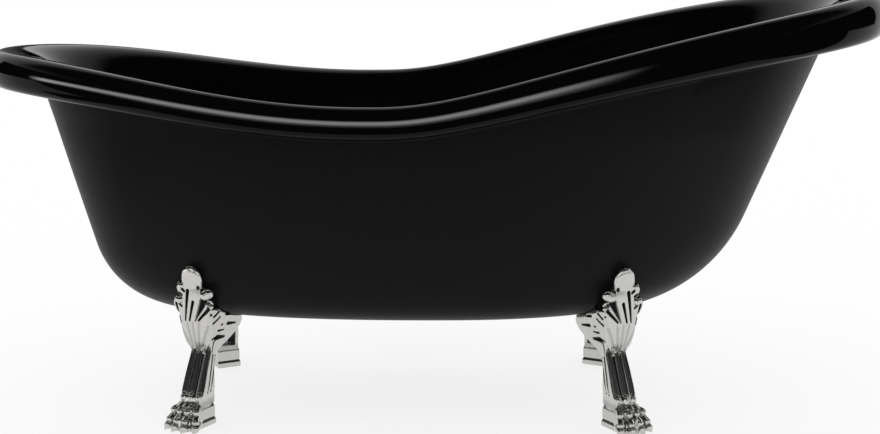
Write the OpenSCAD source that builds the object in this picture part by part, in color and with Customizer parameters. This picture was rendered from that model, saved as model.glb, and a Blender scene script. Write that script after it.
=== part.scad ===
// Clawfoot bathtub: a freestanding single-slipper bath in double-skinned acrylic with a rolled rim,
// on four cast lion's-paw feet with levelling pads, with its waste, plug and overflow.
// Millimetres. The origin is on the floor under the middle of the rim's box. +X points to the high
// head end, -X to the low foot end with the waste, and +Z is up.

/* [Rim] */
// Overall length over the rolled rim
bath_l = 1700; // [1600:10:1800]
// Overall width over the rolled rim
bath_w = 746; // [720:2:780]
// Height of the rim's crest at its lowest point
waist_h = 609; // [590:1:630]
// Height of the rim's crest at the foot end
foot_end_h = 683; // [660:1:710]
// Height of the rim's crest at the head end
head_end_h = 793; // [770:1:820]
// How far the lowest point lies from the middle, towards the foot end
waist_shift = 134; // [110:1:160]
// Reach of the rolled rim outside its crest
roll_out = 26; // [22:1:30]
// Depth of the rim's lip at the lowest point
lip_depth = 58; // [52:1:64]
// Extra lip depth for each mm that the crest climbs
lip_growth = 0.13; // [0.08:0.01:0.18]
// Squareness of the plan at the foot end, 2 being an ellipse
foot_square = 2.19; // [2:0.01:2.6]
// Squareness of the plan at the head end
head_square = 3.57; // [2.6:0.01:3.8]

/* [Outer skin] */
// Thickness of the outer skin
outer_t = 6; // [5:0.5:7]
// Clear height under the bath
underside_z = 197; // [185:1:210]
// How far the rim overhangs the outer skin at the foot end
foot_overhang = 100; // [90:1:110]
// How far the rim overhangs the outer skin at the head end
head_overhang = 110; // [100:1:120]
// How far the rim overhangs the outer skin at the sides
side_overhang = 51; // [47:1:56]
// Lean of the foot end from upright, in degrees
foot_lean = 17.2; // [14:0.2:20]
// Lean of the head end
head_lean = 23; // [20:0.5:26]
// Lean of the sides
side_lean = 9.6; // [8:0.2:11]
// Radius between the underside and the foot end
foot_fillet = 164; // [140:2:190]
// Radius between the underside and the head end
head_fillet = 283; // [250:1:310]
// Radius between the underside and the sides
side_fillet = 82; // [70:1:95]

/* [Basin] */
// Thickness of the inner shell
inner_t = 7; // [6:0.5:8]
// Height of the basin floor over the underside
floor_rise = 53; // [50:1:58]
// Distance between the faces of basin and outer skin at the top of the foot end
foot_gap = 50; // [46:1:56]
// The same at the head end
head_gap = 40; // [34:1:48]
// The same at the sides
side_gap = 18; // [17:0.5:20]
// Lean of the basin's foot end
basin_foot_lean = 20; // [18:0.5:22]
// Lean of the basin's head end
basin_head_lean = 27; // [25:0.5:29]
// Lean of the basin's sides
basin_side_lean = 11; // [10:0.5:12]
// Radius between the floor and the foot end
basin_foot_fillet = 170; // [160:1:180]
// Radius between the floor and the head end
basin_head_fillet = 290; // [270:1:300]
// Radius between the floor and the sides
basin_side_fillet = 110; // [100:1:120]

/* [Feet] */
// How far the low end's bolts lie inside the end of the flat underside
low_bolt_in = 106; // [102:1:120]
// How far the high end's bolts lie inside the end of the flat underside
high_bolt_in = 49; // [46:1:60]
// Distance of the outer bolts from the bath's middle line
bolt_line = 64; // [62:1:68]
// Turn of each foot towards its end of the bath, in degrees
foot_turn = 18; // [12:1:22]
// How far the leaf's tip reaches over the underside
leaf_rise = 109; // [100:1:116]
// Thickness of the leaf at its tip, over the bath's skin
leaf_t = 9; // [7:0.5:11]
// Wall of the hollow casting
cast_t = 6.5; // [5.5:0.5:7.5]
// Half the width of the fluted leg
leg_half = 22; // [20:0.5:24]
// Height of the paw's flat top, which carries the levelling screw
paw_h = 50; // [46:1:54]
// Half the width of the paw over its toes
paw_half = 35; // [32:0.5:38]
// How far the toes reach in front of the leaf's tip
toe_reach = 40; // [36:1:44]
// How far the heel reaches behind the leaf's tip
heel_reach = 45; // [42:1:48]
// Half the width of the wings under the bath
wing_half = 56; // [50:1:60]

/* [Foot fixings] */
// Thickness of the steel bracket
bracket_t = 5; // [4:0.5:6]
// Width of the bracket
bracket_w = 30; // [26:1:32]
// Distance of the bracket's upright tab behind the leaf's tip
tab_back = 62; // [58:1:64]
// Distance between the two bolts of a bracket
bolt_pitch = 25; // [22:1:27]
// Diameter of the bracket's bolts and screws
bolt_d = 8; // [8:1:8]
// Thickness of a washer
washer_t = 1.6; // [1.2:0.1:2]
// Length of a foot block along the bath
block_l = 40; // [36:1:44]
// Width of a foot block
block_w = 58; // [56:1:62]
// Thickness of the base board
board_t = 18; // [15:1:20]

/* [Levelling] */
// Diameter of the levelling screw
leveller_d = 10; // [8:1:12]
// Length of the levelling screw
leveller_l = 70; // [64:1:74]
// Diameter of the pad
pad_d = 34; // [28:1:36]
// Height of the pad
pad_h = 9; // [7:0.5:11]
// How far the pad shows below the paw when screwed right in
pad_show = 1.5; // [1:0.1:2.5]
// Distance of the screw behind the leaf's tip
leveller_back = 18; // [14:1:20]

/* [Waste] */
// Distance of the waste from the middle, towards the foot end
waste_x = 300; // [290:1:306]
// Radius of the waste's flange
flange_r = 35; // [33:0.5:37]
// Outer radius of the flange's threaded spigot
spigot_r = 20; // [19:0.5:21]
// Outer radius of the tail that takes the trap, a G 1 1/2 thread
tail_r = 23.9; // [22:0.1:24]
// How far the tail hangs below the bath
tail_drop = 36; // [30:1:38]
// Radius of the plug's cap
plug_r = 30; // [28:0.5:31]
// How far the plug rises when it is open
plug_lift = 9; // [6:0.5:10]
// Outer radius of the overflow hose
hose_r = 13; // [12:0.5:14]
// Wall of the overflow hose
hose_wall = 2.5; // [2:0.5:3]
// Height of the overflow over the basin floor
overflow_rise = 300; // [290:1:310]
// Radius of the overflow's cover
cover_r = 28; // [26:0.5:30]

/* [Hidden] */
$fn = 48;
gap = 0.3;                  // between pieces that lie on each other
run_gap = 0.05;             // radial clearance of a thread or a sliding stem
quarter_steps = 16;         // plan steps in a quarter of the bath
around = 4 * quarter_steps;
side_square = 2;            // the plan is elliptic across its width
base_square = 2.3;          // and a little squarer at the floor
crest_l = bath_l / 2 - roll_out;
crest_w = bath_w / 2 - roll_out;
lip_square = 2.8;           // the lower half of the lip is squarer than an ellipse
lip_end = 165;              // where the lip's hook ends, in degrees from the crest
foot_sweep = 0.944;         // share of a half wave that the rim climbs to the foot end
head_sweep = 0.73;          // and to the head end
head_ease = 0.41;           // below 1 it climbs sooner
head_soft = 0.08;           // share of the head side over which the climb starts softly
floor_z = underside_z + floor_rise;
side_top = waist_h - lip_depth;
foot_top = foot_end_h - lip_of(foot_end_h);
head_top = head_end_h - lip_of(head_end_h);
// Each skin: [level of its flat, then reach, top, lean, fillet of foot end, head end and side]
outer_form = skin(underside_z, bath_l / 2 - foot_overhang, bath_l / 2 - head_overhang,
    bath_w / 2 - side_overhang, [foot_lean, head_lean, side_lean], [foot_fillet, head_fillet, side_fillet]);
basin_form = skin(floor_z, bath_l / 2 - foot_overhang - foot_gap, bath_l / 2 - head_overhang - head_gap,
    bath_w / 2 - side_overhang - side_gap, [basin_foot_lean, basin_head_lean, basin_side_lean],
    [basin_foot_fillet, basin_head_fillet, basin_side_fillet]);
outer_inside = grown(outer_form, -outer_t);
basin_back = grown(basin_form, inner_t);
back_z = floor_z - inner_t;

flange_out = 6.5;           // the outer skin's flange reaches this far outside the crest
flange_rise = 1;            // and lies this far over the lip's lower edge
access_r = 50;              // hole in the outer skin under the waste
board_z = back_z - gap - board_t;
board_edge = 8;             // space left over the board's edge, where the basin curves up

tip_z = underside_z + leaf_rise;
tip_back = 3;               // the tip's face stands this far behind the foot's own origin
knee_z = underside_z - 54;  // where the leg bends back furthest under the bath
hole_play = 1;              // radius that a hole in a sheet has over what passes through it
board_play = 7;             // space between the board and what it is cut away for
seat_gap = 0.4;             // between a foot and the curved skin that it stands against
edge_t = 2;                 // thinnest edge of the casting
far = 200;
boss_r = 9;
screw_z = underside_z - 29;
boss_from = front_line(screw_z) + 3;
bore_from = boss_from + cast_t + 4;

bracket_z = underside_z - gap - bracket_t;
bracket_end = 15;           // length of a bracket past its last bolt
tab_z = screw_z - 18;
block_z = underside_z + outer_t + gap;
block_h = board_z - gap - block_z;
insert_d = 12;
insert_l = 15;
head_d = 13 / cos(30);      // over the corners of a bolt head 13 mm across its flats
head_h = 5.3;
nut_d = 17 / cos(30);
nut_h = 8;
screw_seat = 4;             // height of the levelling screw's foot in its pad

flange_t = 3;
bar_h = 8;                  // depth of the bar across the waste, which guides the plug
bar_z = floor_z - 12;
bore_r = spigot_r - 3;
seal_t = 1.5;
seal_in = spigot_r + 1.5;
body_seal_t = 3;
chamber_r = 30;
chamber_wall = 5;
chamber_z = underside_z + 3;
spigot_z = back_z - 12;
tail_bore_r = tail_r - 3.5;
cap_z = floor_z + seal_t + flange_t + seal_t;
stem_r = 4;
stem_l = cap_z - bar_z + plug_lift + 1;

overflow_z = floor_z + overflow_rise;
neck_r = 14;
neck_rim = 8;               // width of the elbow's collar and its seal behind the wall
neck_bore_r = neck_r - 3;
elbow_r = 18;
elbow_below = 14;           // how far the elbow's blind end reaches past the hose's axis
hub_r = 6;
hose_sides = 12;
hose_bore = hose_r - hose_wall;
nozzle_r = hose_bore - 2 * gap;
nozzle_l = 26;              // length of a nozzle inside the hose
hose_z = (underside_z + outer_t + back_z) / 2;
hose_bend_r = (outer_inside[1][3] + basin_back[1][3]) / 2;
hose_bend_x = (reach(outer_inside[1], outer_inside[0], outer_inside[0])
    + reach(basin_back[1], back_z, back_z)) / 2;
elbow_in = cos(basin_foot_lean) * ((reach(outer_inside[1], outer_inside[0], overflow_z)
    + reach(basin_back[1], back_z, overflow_z)) / 2 - reach(basin_form[1], floor_z, overflow_z));
inlet_from = waste_x + chamber_r + 4;
hose_end = elbow_r + 4;

ENDS = [["front_left", -1, -1], ["front_right", 1, -1], ["back_left", -1, 1], ["back_right", 1, 1]];

// ---------- The bath's form ----------

function power(v, p) = pow(abs(v), p);
function clip(v) = max(0, min(1, v));
function lip_of(crest) = lip_depth + lip_growth * (crest - waist_h);

// Height of the crest over a place along the bath: half a cosine wave from the waist to each end
function wave(t, share) = (1 - cos(180 * share * t)) / (1 - cos(180 * share));
function crest_z(x) = x < -waist_shift
    ? waist_h + (foot_end_h - waist_h) * wave((-waist_shift - x) / (crest_l - waist_shift), foot_sweep)
    : waist_h + (head_end_h - waist_h)
        * wave(eased((x + waist_shift) / (crest_l + waist_shift)), head_sweep);
function eased(t) = let (start = pow(head_soft, head_ease))
    (pow(norm([t, head_soft]), head_ease) - start) / (pow(norm([1, head_soft]), head_ease) - start);

// A skin's form, and the same form grown outwards by d
function skin(base, foot_r, head_r, side_r, leans, fillets) =
    [base, [foot_r, foot_top, leans[0], fillets[0]], [head_r, head_top, leans[1], fillets[1]],
     [side_r, side_top, leans[2], fillets[2]]];
function grown(form, d) = [form[0] - d, for (i = [1:3])
    [form[i][0] + d / cos(form[i][2]), form[i][1], form[i][2], form[i][3] + d]];

// Reach of one side of a skin at height z: an arc from the flat, then a leaning wall
function reach(p, base, z) = let (
    arc_top = base + p[3] * (1 - sin(p[2])),
    wall = p[0] + (z - p[1]) * tan(p[2]),
    flat = p[0] + (arc_top - p[1]) * tan(p[2]) - p[3] * cos(p[2]),
    up = p[3] - max(0, z - base))
    z < arc_top ? flat + sqrt(max(0, p[3] * p[3] - up * up)) : wall;

// Plan directions, each [sign x, sign y, cosine, sine, column's end squareness], crowded so that
// the points lie evenly along the bath
function plan(i) = let (
    q = floor(i / quarter_steps), f = (i % quarter_steps) / quarter_steps,
    p = (q % 2 == 0) ? 1 - f : f, high = (q == 0 || q == 3),
    sq = high ? head_square : foot_square, turn = 90 * (1 - pow(p, sq / 2)))
    [high ? 1 : -1, q < 2 ? 1 : -1, cos(turn), sin(turn), sq];

function blend(form, z) = pow(clip((z - form[0]) / (side_top - form[0])), 2);
function on_skin(form, d, z) = let (k = blend(form, z),
    nx = base_square + (d[4] - base_square) * k, ny = base_square + (side_square - base_square) * k)
    [d[0] * pow(d[2], 2 / nx) * reach(form[d[0] < 0 ? 1 : 2], form[0], z),
     d[1] * pow(d[3], 2 / ny) * reach(form[3], form[0], z), z];

// The crest's point and its outward direction in plan
function crest_at(d) = let (x = d[0] * pow(d[2], 2 / d[4]) * crest_l, y = d[1] * d[3] * crest_w)
    [x, y, crest_z(x)];
function crest_out(d) = let (c = crest_at(d),
    nx = d[0] * d[4] * power(c[0] / crest_l, d[4] - 1) / crest_l,
    ny = side_square * c[1] / (crest_w * crest_w), l = norm([nx, ny])) [nx / l, ny / l, 0];

// Height of a skin's top edge in one plan direction, where it meets the bottom of the lip
function top_z(form, d, z, n) = let (x = on_skin(form, d, z)[0], c = crest_z(x))
    n == 0 ? c - lip_of(c) : top_z(form, d, c - lip_of(c), n - 1);
function skin_point(form, d, t) = let (top = top_z(form, d, side_top, 5))
    on_skin(form, d, form[0] + (top - form[0]) * (1 - cos(90 * t)));

// The lip's outside (inset 0) or inside, a degrees round from the crest
function lip_point(d, a, inset) = let (c = crest_at(d), h = lip_of(c[2]) / 2, r = roll_out - inset,
    e = a > 90 ? 2 / lip_square : 1, s = pow(sin(a), e), v = pow(abs(cos(a)), e) * sign(cos(a)))
    c + crest_out(d) * r * s - [0, 0, h - (h - inset) * v];

// The roll between the basin's top and the crest: a curve level at the crest and steep at the basin
function roll_point(form, d, t, inset) = let (
    a = skin_point(form, d, 1), b = crest_at(d) - [0, 0, inset],
    lower = skin_point(form, d, 0.94), span = norm(b - a),
    up = (a - lower) / norm(a - lower) * span * 1.1, level = crest_out(d) * span * 1.1)
    a * (2 * pow(t, 3) - 3 * t * t + 1) + up * (pow(t, 3) - 2 * t * t + t)
    + b * (3 * t * t - 2 * pow(t, 3)) + level * (pow(t, 3) - t * t);

DIRS = [for (i = [0:around - 1]) plan(i)];
function skin_rings(form, n, from) = [for (j = [from:n]) [for (d = DIRS) skin_point(form, d, j / n)]];
function reversed(l) = [for (i = [len(l) - 1:-1:0]) l[i]];

// Triangles of the bands between m rings of n points each, which close on themselves if bands is m
function sides(m, n, bands) = [for (j = [0:bands - 1], i = [0:n - 1]) let (
    a = j * n + i, b = j * n + (i + 1) % n, up = ((j + 1) % m - j) * n)
    each [[a, b + up, b], [a, a + up, b + up]]];
function middle(ring) = [for (p = ring) 1 / len(ring)] * ring;

// A closed solid through rings, with a fan of triangles over the first ring and the last
module lofted(rings) {
    n = len(rings[0]);
    all = len(rings) * n;
    polyhedron(concat([for (r = rings) each r], [middle(rings[0]), middle(rings[len(rings) - 1])]),
        concat(sides(len(rings), n, len(rings) - 1),
            [for (i = [0:n - 1]) [i, (i + 1) % n, all]],
            [for (i = [0:n - 1]) [all - n + (i + 1) % n, all - n + i, all + 1]]), convexity = 8);
}

// The same through hollow rings, whose points pair up through the wall, the first with the last
module paired(rings) {
    n = len(rings[0]);
    last = (len(rings) - 1) * n;
    polyhedron([for (r = rings) each r], concat(sides(len(rings), n, len(rings) - 1),
        [for (i = [0:n / 2 - 2]) each [[i, i + 1, n - 2 - i], [i, n - 2 - i, n - 1 - i]]],
        [for (i = [0:n / 2 - 2]) each [[last + i, last + n - 2 - i, last + i + 1],
            [last + i, last + n - 1 - i, last + n - 2 - i]]]), convexity = 8);
}

module acrylic() color("#151515") children();
module chrome() color("#d2d2d4") children();
module steel() color("#9a9da0") children();
module brass() color("#b9a05a") children();
module timber() color("#b98f5a") children();
module rubber() color("#2b2b2b") children();
module plastic() color("#e6e6e2") children();

// ---------- Shells and board ----------

module inner_shell() acrylic() difference() {
    lofted(concat(
        skin_rings(basin_back, 7, 0),
        [for (t = [0.25:0.25:0.75]) [for (d = DIRS) roll_point(basin_back, d, t, inner_t)]],
        [for (a = [0:30:150]) [for (d = DIRS) lip_point(d, a, inner_t)]],
        [[for (d = DIRS) lip_point(d, lip_end, inner_t)]],
        [for (a = [lip_end:-15:0]) [for (d = DIRS) lip_point(d, a, 0)]],
        [for (t = [0.8:-0.2:0.2]) [for (d = DIRS) roll_point(basin_form, d, t, 0)]],
        reversed(skin_rings(basin_form, 9, 0))));
    translate([-waste_x, 0, back_z - inner_t]) cylinder(r = spigot_r + hole_play, h = 3 * inner_t);
    at_overflow() translate([0, 0, -3 * inner_t]) cylinder(r = neck_r + hole_play, h = 6 * inner_t);
}

// The outer skin ends in a flange that closes the rim's underside
function flange_edge(d, up) = let (c = crest_at(d))
    c + crest_out(d) * flange_out - [0, 0, lip_of(c[2]) - up];
module outer_shell() acrylic() difference() {
    lofted(concat(
        skin_rings(outer_form, 9, 0),
        [[for (d = DIRS) flange_edge(d, flange_rise)]],
        [[for (d = DIRS) flange_edge(d, flange_rise + outer_t)]],
        [[for (d = DIRS) skin_point(outer_inside, d, 1) + [0, 0, flange_rise + outer_t]]],
        reversed(skin_rings(outer_inside, 8, 0))));
    translate([-waste_x, 0, underside_z - outer_t]) cylinder(r = access_r, h = 3 * outer_t);
    for (e = ENDS) at_foot(e) each_bolt(e) translate([0, 0, underside_z - outer_t])
        cylinder(d = bolt_d + 1, h = 3 * outer_t);
}

// A board glued under the basin floor, cut away round the waste and its overflow hose
module base_board() timber() translate([0, 0, board_z]) difference() {
    linear_extrude(board_t) polygon([for (d = DIRS) let (p = on_skin(basin_back, d, back_z + board_edge))
        [p[0], p[1]]]);
    translate([-waste_x, 0, -1]) cylinder(r = flange_r + board_play, h = board_t + 2);
    translate([-crest_l, -hose_r - board_play, -1])
        cube([crest_l - waste_x, 2 * (hose_r + board_play), board_t + 2]);
}

// ---------- Places ----------

// Local axes of a foot: x across it, y inwards under the bath, origin under its leaf's tip
// A foot stands where its bracket, which runs square to it, ends over its bolts
function bolt_x(e) = e[1] < 0 ? low_bolt_in - reach(outer_form[1], underside_z, underside_z)
    : reach(outer_form[2], underside_z, underside_z) - high_bolt_in;
function stand_y(x) = -(wall_y(x, tip_z) + leaf_t + tip_back);
function stand_x(e, x, n) = let (out = -stand_y(x) - bolt_line, at = bolt_x(e) + e[1] * out * tan(foot_turn))
    n == 0 ? at : stand_x(e, at, n - 1);
function foot_x(e) = stand_x(e, bolt_x(e), 6);
function foot_y(e) = stand_y(foot_x(e));
function bolt_back(e) = (-foot_y(e) - bolt_line) / cos(foot_turn);
function wall_y(x, z) = let (k = blend(outer_form, z),
    nx = base_square + ((x < 0 ? foot_square : head_square) - base_square) * k,
    ny = base_square + (side_square - base_square) * k)
    reach(outer_form[3], outer_form[0], z)
    * pow(1 - power(x / reach(outer_form[x < 0 ? 1 : 2], outer_form[0], z), nx), 1 / ny);
module at_foot(e) mirror([0, e[2] > 0 ? 1 : 0, 0])
    translate([foot_x(e), foot_y(e), 0]) rotate([0, 0, e[1] * foot_turn]) children();
module each_foot() for (e = ENDS) at_foot(e) children();
module each_bolt(e) for (i = [0, 1]) translate([0, bolt_back(e) + i * bolt_pitch, 0]) children();
// The overflow's axes: z out of the wall into the basin, x down the wall
module at_overflow() translate([-reach(basin_form[1], floor_z, overflow_z), 0, overflow_z])
    rotate([0, 90 - basin_foot_lean, 0]) children();

// ---------- Feet ----------

// Where the bath's skin stands, as a distance inwards, at a place across the foot
function inside_skin(x, y, z) = let (k = blend(outer_form, z),
    nx = base_square + ((x < 0 ? foot_square : head_square) - base_square) * k,
    ny = base_square + (side_square - base_square) * k)
    power(x / reach(outer_form[x < 0 ? 1 : 2], outer_form[0], z), nx)
    + power(y / reach(outer_form[3], outer_form[0], z), ny) < 1;
function skin_at(e, a, z, lo, hi, n) = z < underside_z ? far
    : n == 0 ? hi : let (m = (lo + hi) / 2, turn = e[1] * foot_turn)
    inside_skin(foot_x(e) + a * cos(turn) - m * sin(turn), foot_y(e) + a * sin(turn) + m * cos(turn), z)
        ? skin_at(e, a, z, lo, m, n - 1) : skin_at(e, a, z, m, hi, n - 1);
function seat(e, a, z) = skin_at(e, a, z, -2 * toe_reach, far, 12) - seat_gap;

// The casting's lines, each a list of [height, value]: its front, its crown across the front, half
// its width at the front, half its width at the back, and how far back it reaches
function front_line(z) = lookup(z, [[paw_h - 10, -15], [paw_h + 10, -8], [paw_h + 27, 0],
    [knee_z - 43, 15], [knee_z - 18, 31], [knee_z, 38], [knee_z + 17, 36], [underside_z, 24],
    [underside_z + 25, 15], [underside_z + 50, 8], [tip_z - 36, tip_back + 2], [tip_z, tip_back]]);
function crown_line(z) = lookup(z, [[paw_h, 8], [knee_z, 5], [underside_z, 9], [tip_z - 56, 8], [tip_z, 1]]);
function front_half(z) = lookup(z, [[paw_h, leg_half], [paw_h + 27, leg_half + 1],
    [knee_z, leg_half - 2], [knee_z + 32, leg_half + 1], [underside_z, leg_half + 5],
    [underside_z + 18, 30], [underside_z + 40, 36], [tip_z - 56, 35], [tip_z - 44, 29],
    [tip_z - 34, 29], [tip_z - 22, 31], [tip_z - 15, 22], [tip_z - 8, 14], [tip_z, 4]]);
function back_half(z) = max(front_half(z) + 1.5, lookup(z, [[paw_h, leg_half], [knee_z - 8, leg_half],
    [knee_z + 14, 38], [knee_z + 32, wing_half - 7], [underside_z, wing_half],
    [underside_z + 18, wing_half - 6], [underside_z + 50, leg_half]]));
function back_line(z) = lookup(z, [[paw_h - 10, heel_reach], [knee_z - 43, heel_reach + 3],
    [knee_z - 18, heel_reach + 12], [knee_z, heel_reach + 28], [knee_z + 14, heel_reach + 44],
    [underside_z, heel_reach + 57]]);

// One level of the hollow casting: round its outside from one back edge to the other, then inside
function cast_out(e, z, u) = let (f = front_half(z), s = max(0, abs(u) - 1),
    a = sign(u) * (f * min(1, abs(u)) + (back_half(z) - f) * s),
    front = front_line(z) + crown_line(z) * pow(min(1, abs(u)), 2),
    y = front + (back_line(z) - front) * s)
    [a, min(y, seat(e, a, z) - edge_t * (1 - s)), z];
function cast_in(e, z, u) = let (o = cast_out(e, z, u), s = max(0, abs(u) - 1),
    a = sign(o[0]) * max(abs(o[0]) - cast_t, abs(o[0]) * 0.4))
    [a, min(o[1] + cast_t * (1 - s), seat(e, a, z)), z];
ROUND = [-2, -1.67, -1.33, -1, -0.75, -0.5, -0.25, 0, 0.25, 0.5, 0.75, 1, 1.33, 1.67, 2];
function cast_ring(e, z) = concat([for (u = ROUND) cast_out(e, z, u)],
    [for (u = reversed(ROUND)) cast_in(e, z, u)]);
LEVELS = concat([paw_h - 10, paw_h, paw_h + 10, paw_h + 27, knee_z - 43, knee_z - 30, knee_z - 18,
    knee_z - 8, knee_z, knee_z + 7, knee_z + 14, knee_z + 22, knee_z + 32, underside_z - 10,
    underside_z - seat_gap], [for (h = [2, 5, 9, 14, 20, 26, 33, 40, 47, 54, 62, 70]) underside_z + h],
    [for (h = [34, 28, 22, 16, 10, 5, 0]) tip_z - h]);

// One level of the paw: four toes across its front and a plain block behind them
function paw_point(z, u) = let (w = lookup(z, [[pad_show, 32], [12, paw_half], [30, paw_half - 4],
        [paw_h - 6, paw_half - 8], [paw_h, leg_half + 2]]),
    r = lookup(z, [[pad_show, toe_reach - 7], [8, toe_reach - 3], [18, toe_reach - 6],
        [26, toe_reach - 14], [paw_h - 12, toe_reach - 18], [paw_h, 13]]),
    toe = lookup(z, [[pad_show, 4], [14, 5], [paw_h - 8, 3], [paw_h, 1]]))
    [u * w, -r * (1 - 0.4 * u * u) - toe * abs(sin(360 * (u + 1))), z];
BLOCK = [[heel_reach, leg_half + 1], [heel_reach * 0.5, leg_half + 1], [4, leg_half + 3]];
function paw_ring(z) = let (swell = lookup(z, [[pad_show, 1.5], [14, 1.5], [16, 0], [paw_h, 0]])) concat(
    [for (b = BLOCK) [-b[1] - swell, b[0], z]], [for (i = [-8:8]) paw_point(z, i / 8)],
    [for (b = reversed(BLOCK)) [b[1] + swell, b[0], z]]);

module foot(e) chrome() at_foot(e) difference() {
    union() {
        paired([for (z = LEVELS) cast_ring(e, z)]);
        lofted([for (z = [pad_show, 7, 14, 16, 24, 32, paw_h - 8, paw_h]) paw_ring(z)]);
        across(boss_from) cylinder(r = boss_r, h = tab_back - gap - boss_from);
    }
    across(bore_from) cylinder(d = bolt_d + 2 * run_gap, h = tab_back);
    translate([0, leveller_back, -1]) cylinder(d = pad_d + 2, h = pad_h + gap + 1);
    translate([0, leveller_back, 0]) cylinder(d = leveller_d + 2 * run_gap, h = paw_h + 1);
}

// ---------- Foot fixings ----------

// Axes of the screw that holds a foot to its bracket, z running inwards from y
module across(y) translate([0, y, screw_z]) rotate([-90, 0, 0]) children();

module foot_bracket(e) steel() at_foot(e) difference() {
    translate([-bracket_w / 2, tab_back, 0]) union() {
        translate([0, 0, bracket_z])
            cube([bracket_w, bolt_back(e) + bolt_pitch + bracket_end - tab_back, bracket_t]);
        translate([0, 0, tab_z]) cube([bracket_w, bracket_t, bracket_z + bracket_t - tab_z]);
    }
    each_bolt(e) translate([0, 0, bracket_z - 1]) cylinder(d = bolt_d + 1, h = bracket_t + 2);
    across(tab_back - 1) cylinder(d = bolt_d + 1, h = bracket_t + 2);
}

module foot_block(e) timber() at_foot(e) difference() {
    translate([-block_l / 2, bolt_back(e) + (bolt_pitch - block_w) / 2, block_z])
        cube([block_l, block_w, block_h]);
    each_bolt(e) translate([0, 0, block_z - 1]) cylinder(d = insert_d + 2 * run_gap, h = block_h + 2);
}

module block_inserts() brass() for (e = ENDS) at_foot(e) each_bolt(e)
    translate([0, 0, block_z]) difference() {
    cylinder(d = insert_d, h = insert_l);
    translate([0, 0, -1]) cylinder(d = bolt_d + 2 * run_gap, h = insert_l + 2);
}

// A hexagon bolt with its head below the origin
module hex_bolt(l) {
    translate([0, 0, -head_h]) cylinder(d = head_d, h = head_h, $fn = 6);
    cylinder(d = bolt_d, h = l);
}
module washer() difference() {
    cylinder(d = 2 * bolt_d, h = washer_t);
    translate([0, 0, -1]) cylinder(d = bolt_d + 0.4, h = washer_t + 2);
}

module bracket_bolts() steel() for (e = ENDS) at_foot(e) each_bolt(e)
    translate([0, 0, bracket_z - washer_t]) hex_bolt(block_z + insert_l - bracket_z);
module foot_screws() steel() each_foot() across(tab_back + bracket_t + washer_t) mirror([0, 0, 1])
    hex_bolt(tab_back + bracket_t + washer_t - bore_from - 1);
module bracket_washers() steel() for (e = ENDS) at_foot(e) {
    each_bolt(e) translate([0, 0, bracket_z - washer_t]) washer();
    across(tab_back + bracket_t) washer();
}

// ---------- Levelling ----------

module leveller_screw(e) steel() at_foot(e) translate([0, leveller_back, screw_seat]) difference() {
    cylinder(d = leveller_d, h = leveller_l);
    translate([-leveller_d, -0.8, leveller_l - 2]) cube([2 * leveller_d, 1.6, 3]);
}

module leveller_pad(e) rubber() at_foot(e) translate([0, leveller_back, 0]) difference() {
    union() {
        cylinder(d = pad_d, h = pad_h - 3);
        cylinder(d = pad_d - 8, h = pad_h);
    }
    translate([0, 0, screw_seat]) cylinder(d = leveller_d + 2 * run_gap, h = pad_h);
}

module leveller_lock_nuts() steel() each_foot() translate([0, leveller_back, paw_h]) difference() {
    cylinder(d = nut_d, h = nut_h, $fn = 6);
    translate([0, 0, -1]) cylinder(d = leveller_d + 2 * run_gap, h = nut_h + 2);
}

// ---------- Waste and plug ----------

module at_waste(z) translate([-waste_x, 0, z]) children();
module ring(r_in, r_out, h) difference() {
    cylinder(r = r_out, h = h);
    translate([0, 0, -1]) cylinder(r = r_in, h = h + 2);
}

// The flange's threaded spigot screws into the body under the bath and clamps both seals
module waste_flange() chrome() {
    at_waste(0) rotate_extrude($fn = 96) polygon([[bore_r, spigot_z], [spigot_r, spigot_z],
        [spigot_r, floor_z + seal_t], [flange_r, floor_z + seal_t], [flange_r, floor_z + seal_t + 1],
        for (a = [15:15:90]) [flange_r - 3 + 3 * cos(a), floor_z + seal_t + 1 + (flange_t - 1) * sin(a)],
        [bore_r, floor_z + seal_t + flange_t]]);
    at_waste(bar_z) difference() {
        union() {
            translate([-bore_r - 1, -2.5, 0]) cube([2 * bore_r + 2, 5, bar_h]);
            cylinder(r = stem_r + 3, h = bar_h);
        }
        translate([0, 0, -1]) cylinder(r = stem_r + run_gap, h = bar_h + 2);
    }
}
module waste_top_seal() rubber() at_waste(floor_z) ring(seal_in, flange_r - 3, seal_t);
module waste_bottom_seal() rubber() at_waste(back_z - body_seal_t) ring(seal_in, flange_r, body_seal_t);

module waste_body() plastic() at_waste(0) difference() {
    union() {
        translate([0, 0, underside_z - tail_drop]) cylinder(r = tail_r, h = tail_drop + 4);
        translate([0, 0, chamber_z]) cylinder(r = chamber_r, h = back_z - body_seal_t - chamber_z);
        translate([0, 0, back_z - body_seal_t - 4]) cylinder(r = flange_r, h = 4);
        translate([0, 0, hose_z]) rotate([0, -90, 0])
            cylinder(r = nozzle_r, h = inlet_from - waste_x + nozzle_l);
    }
    translate([0, 0, underside_z - tail_drop - 1]) cylinder(r = tail_bore_r, h = tail_drop + 20);
    translate([0, 0, chamber_z + chamber_wall])
        cylinder(r = chamber_r - chamber_wall, h = spigot_z - 1 - chamber_z - chamber_wall);
    translate([0, 0, chamber_z]) cylinder(r = spigot_r + run_gap, h = back_z - chamber_z);
    translate([0, 0, hose_z]) rotate([0, -90, 0]) cylinder(r = nozzle_r - 2, h = far);
}

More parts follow.
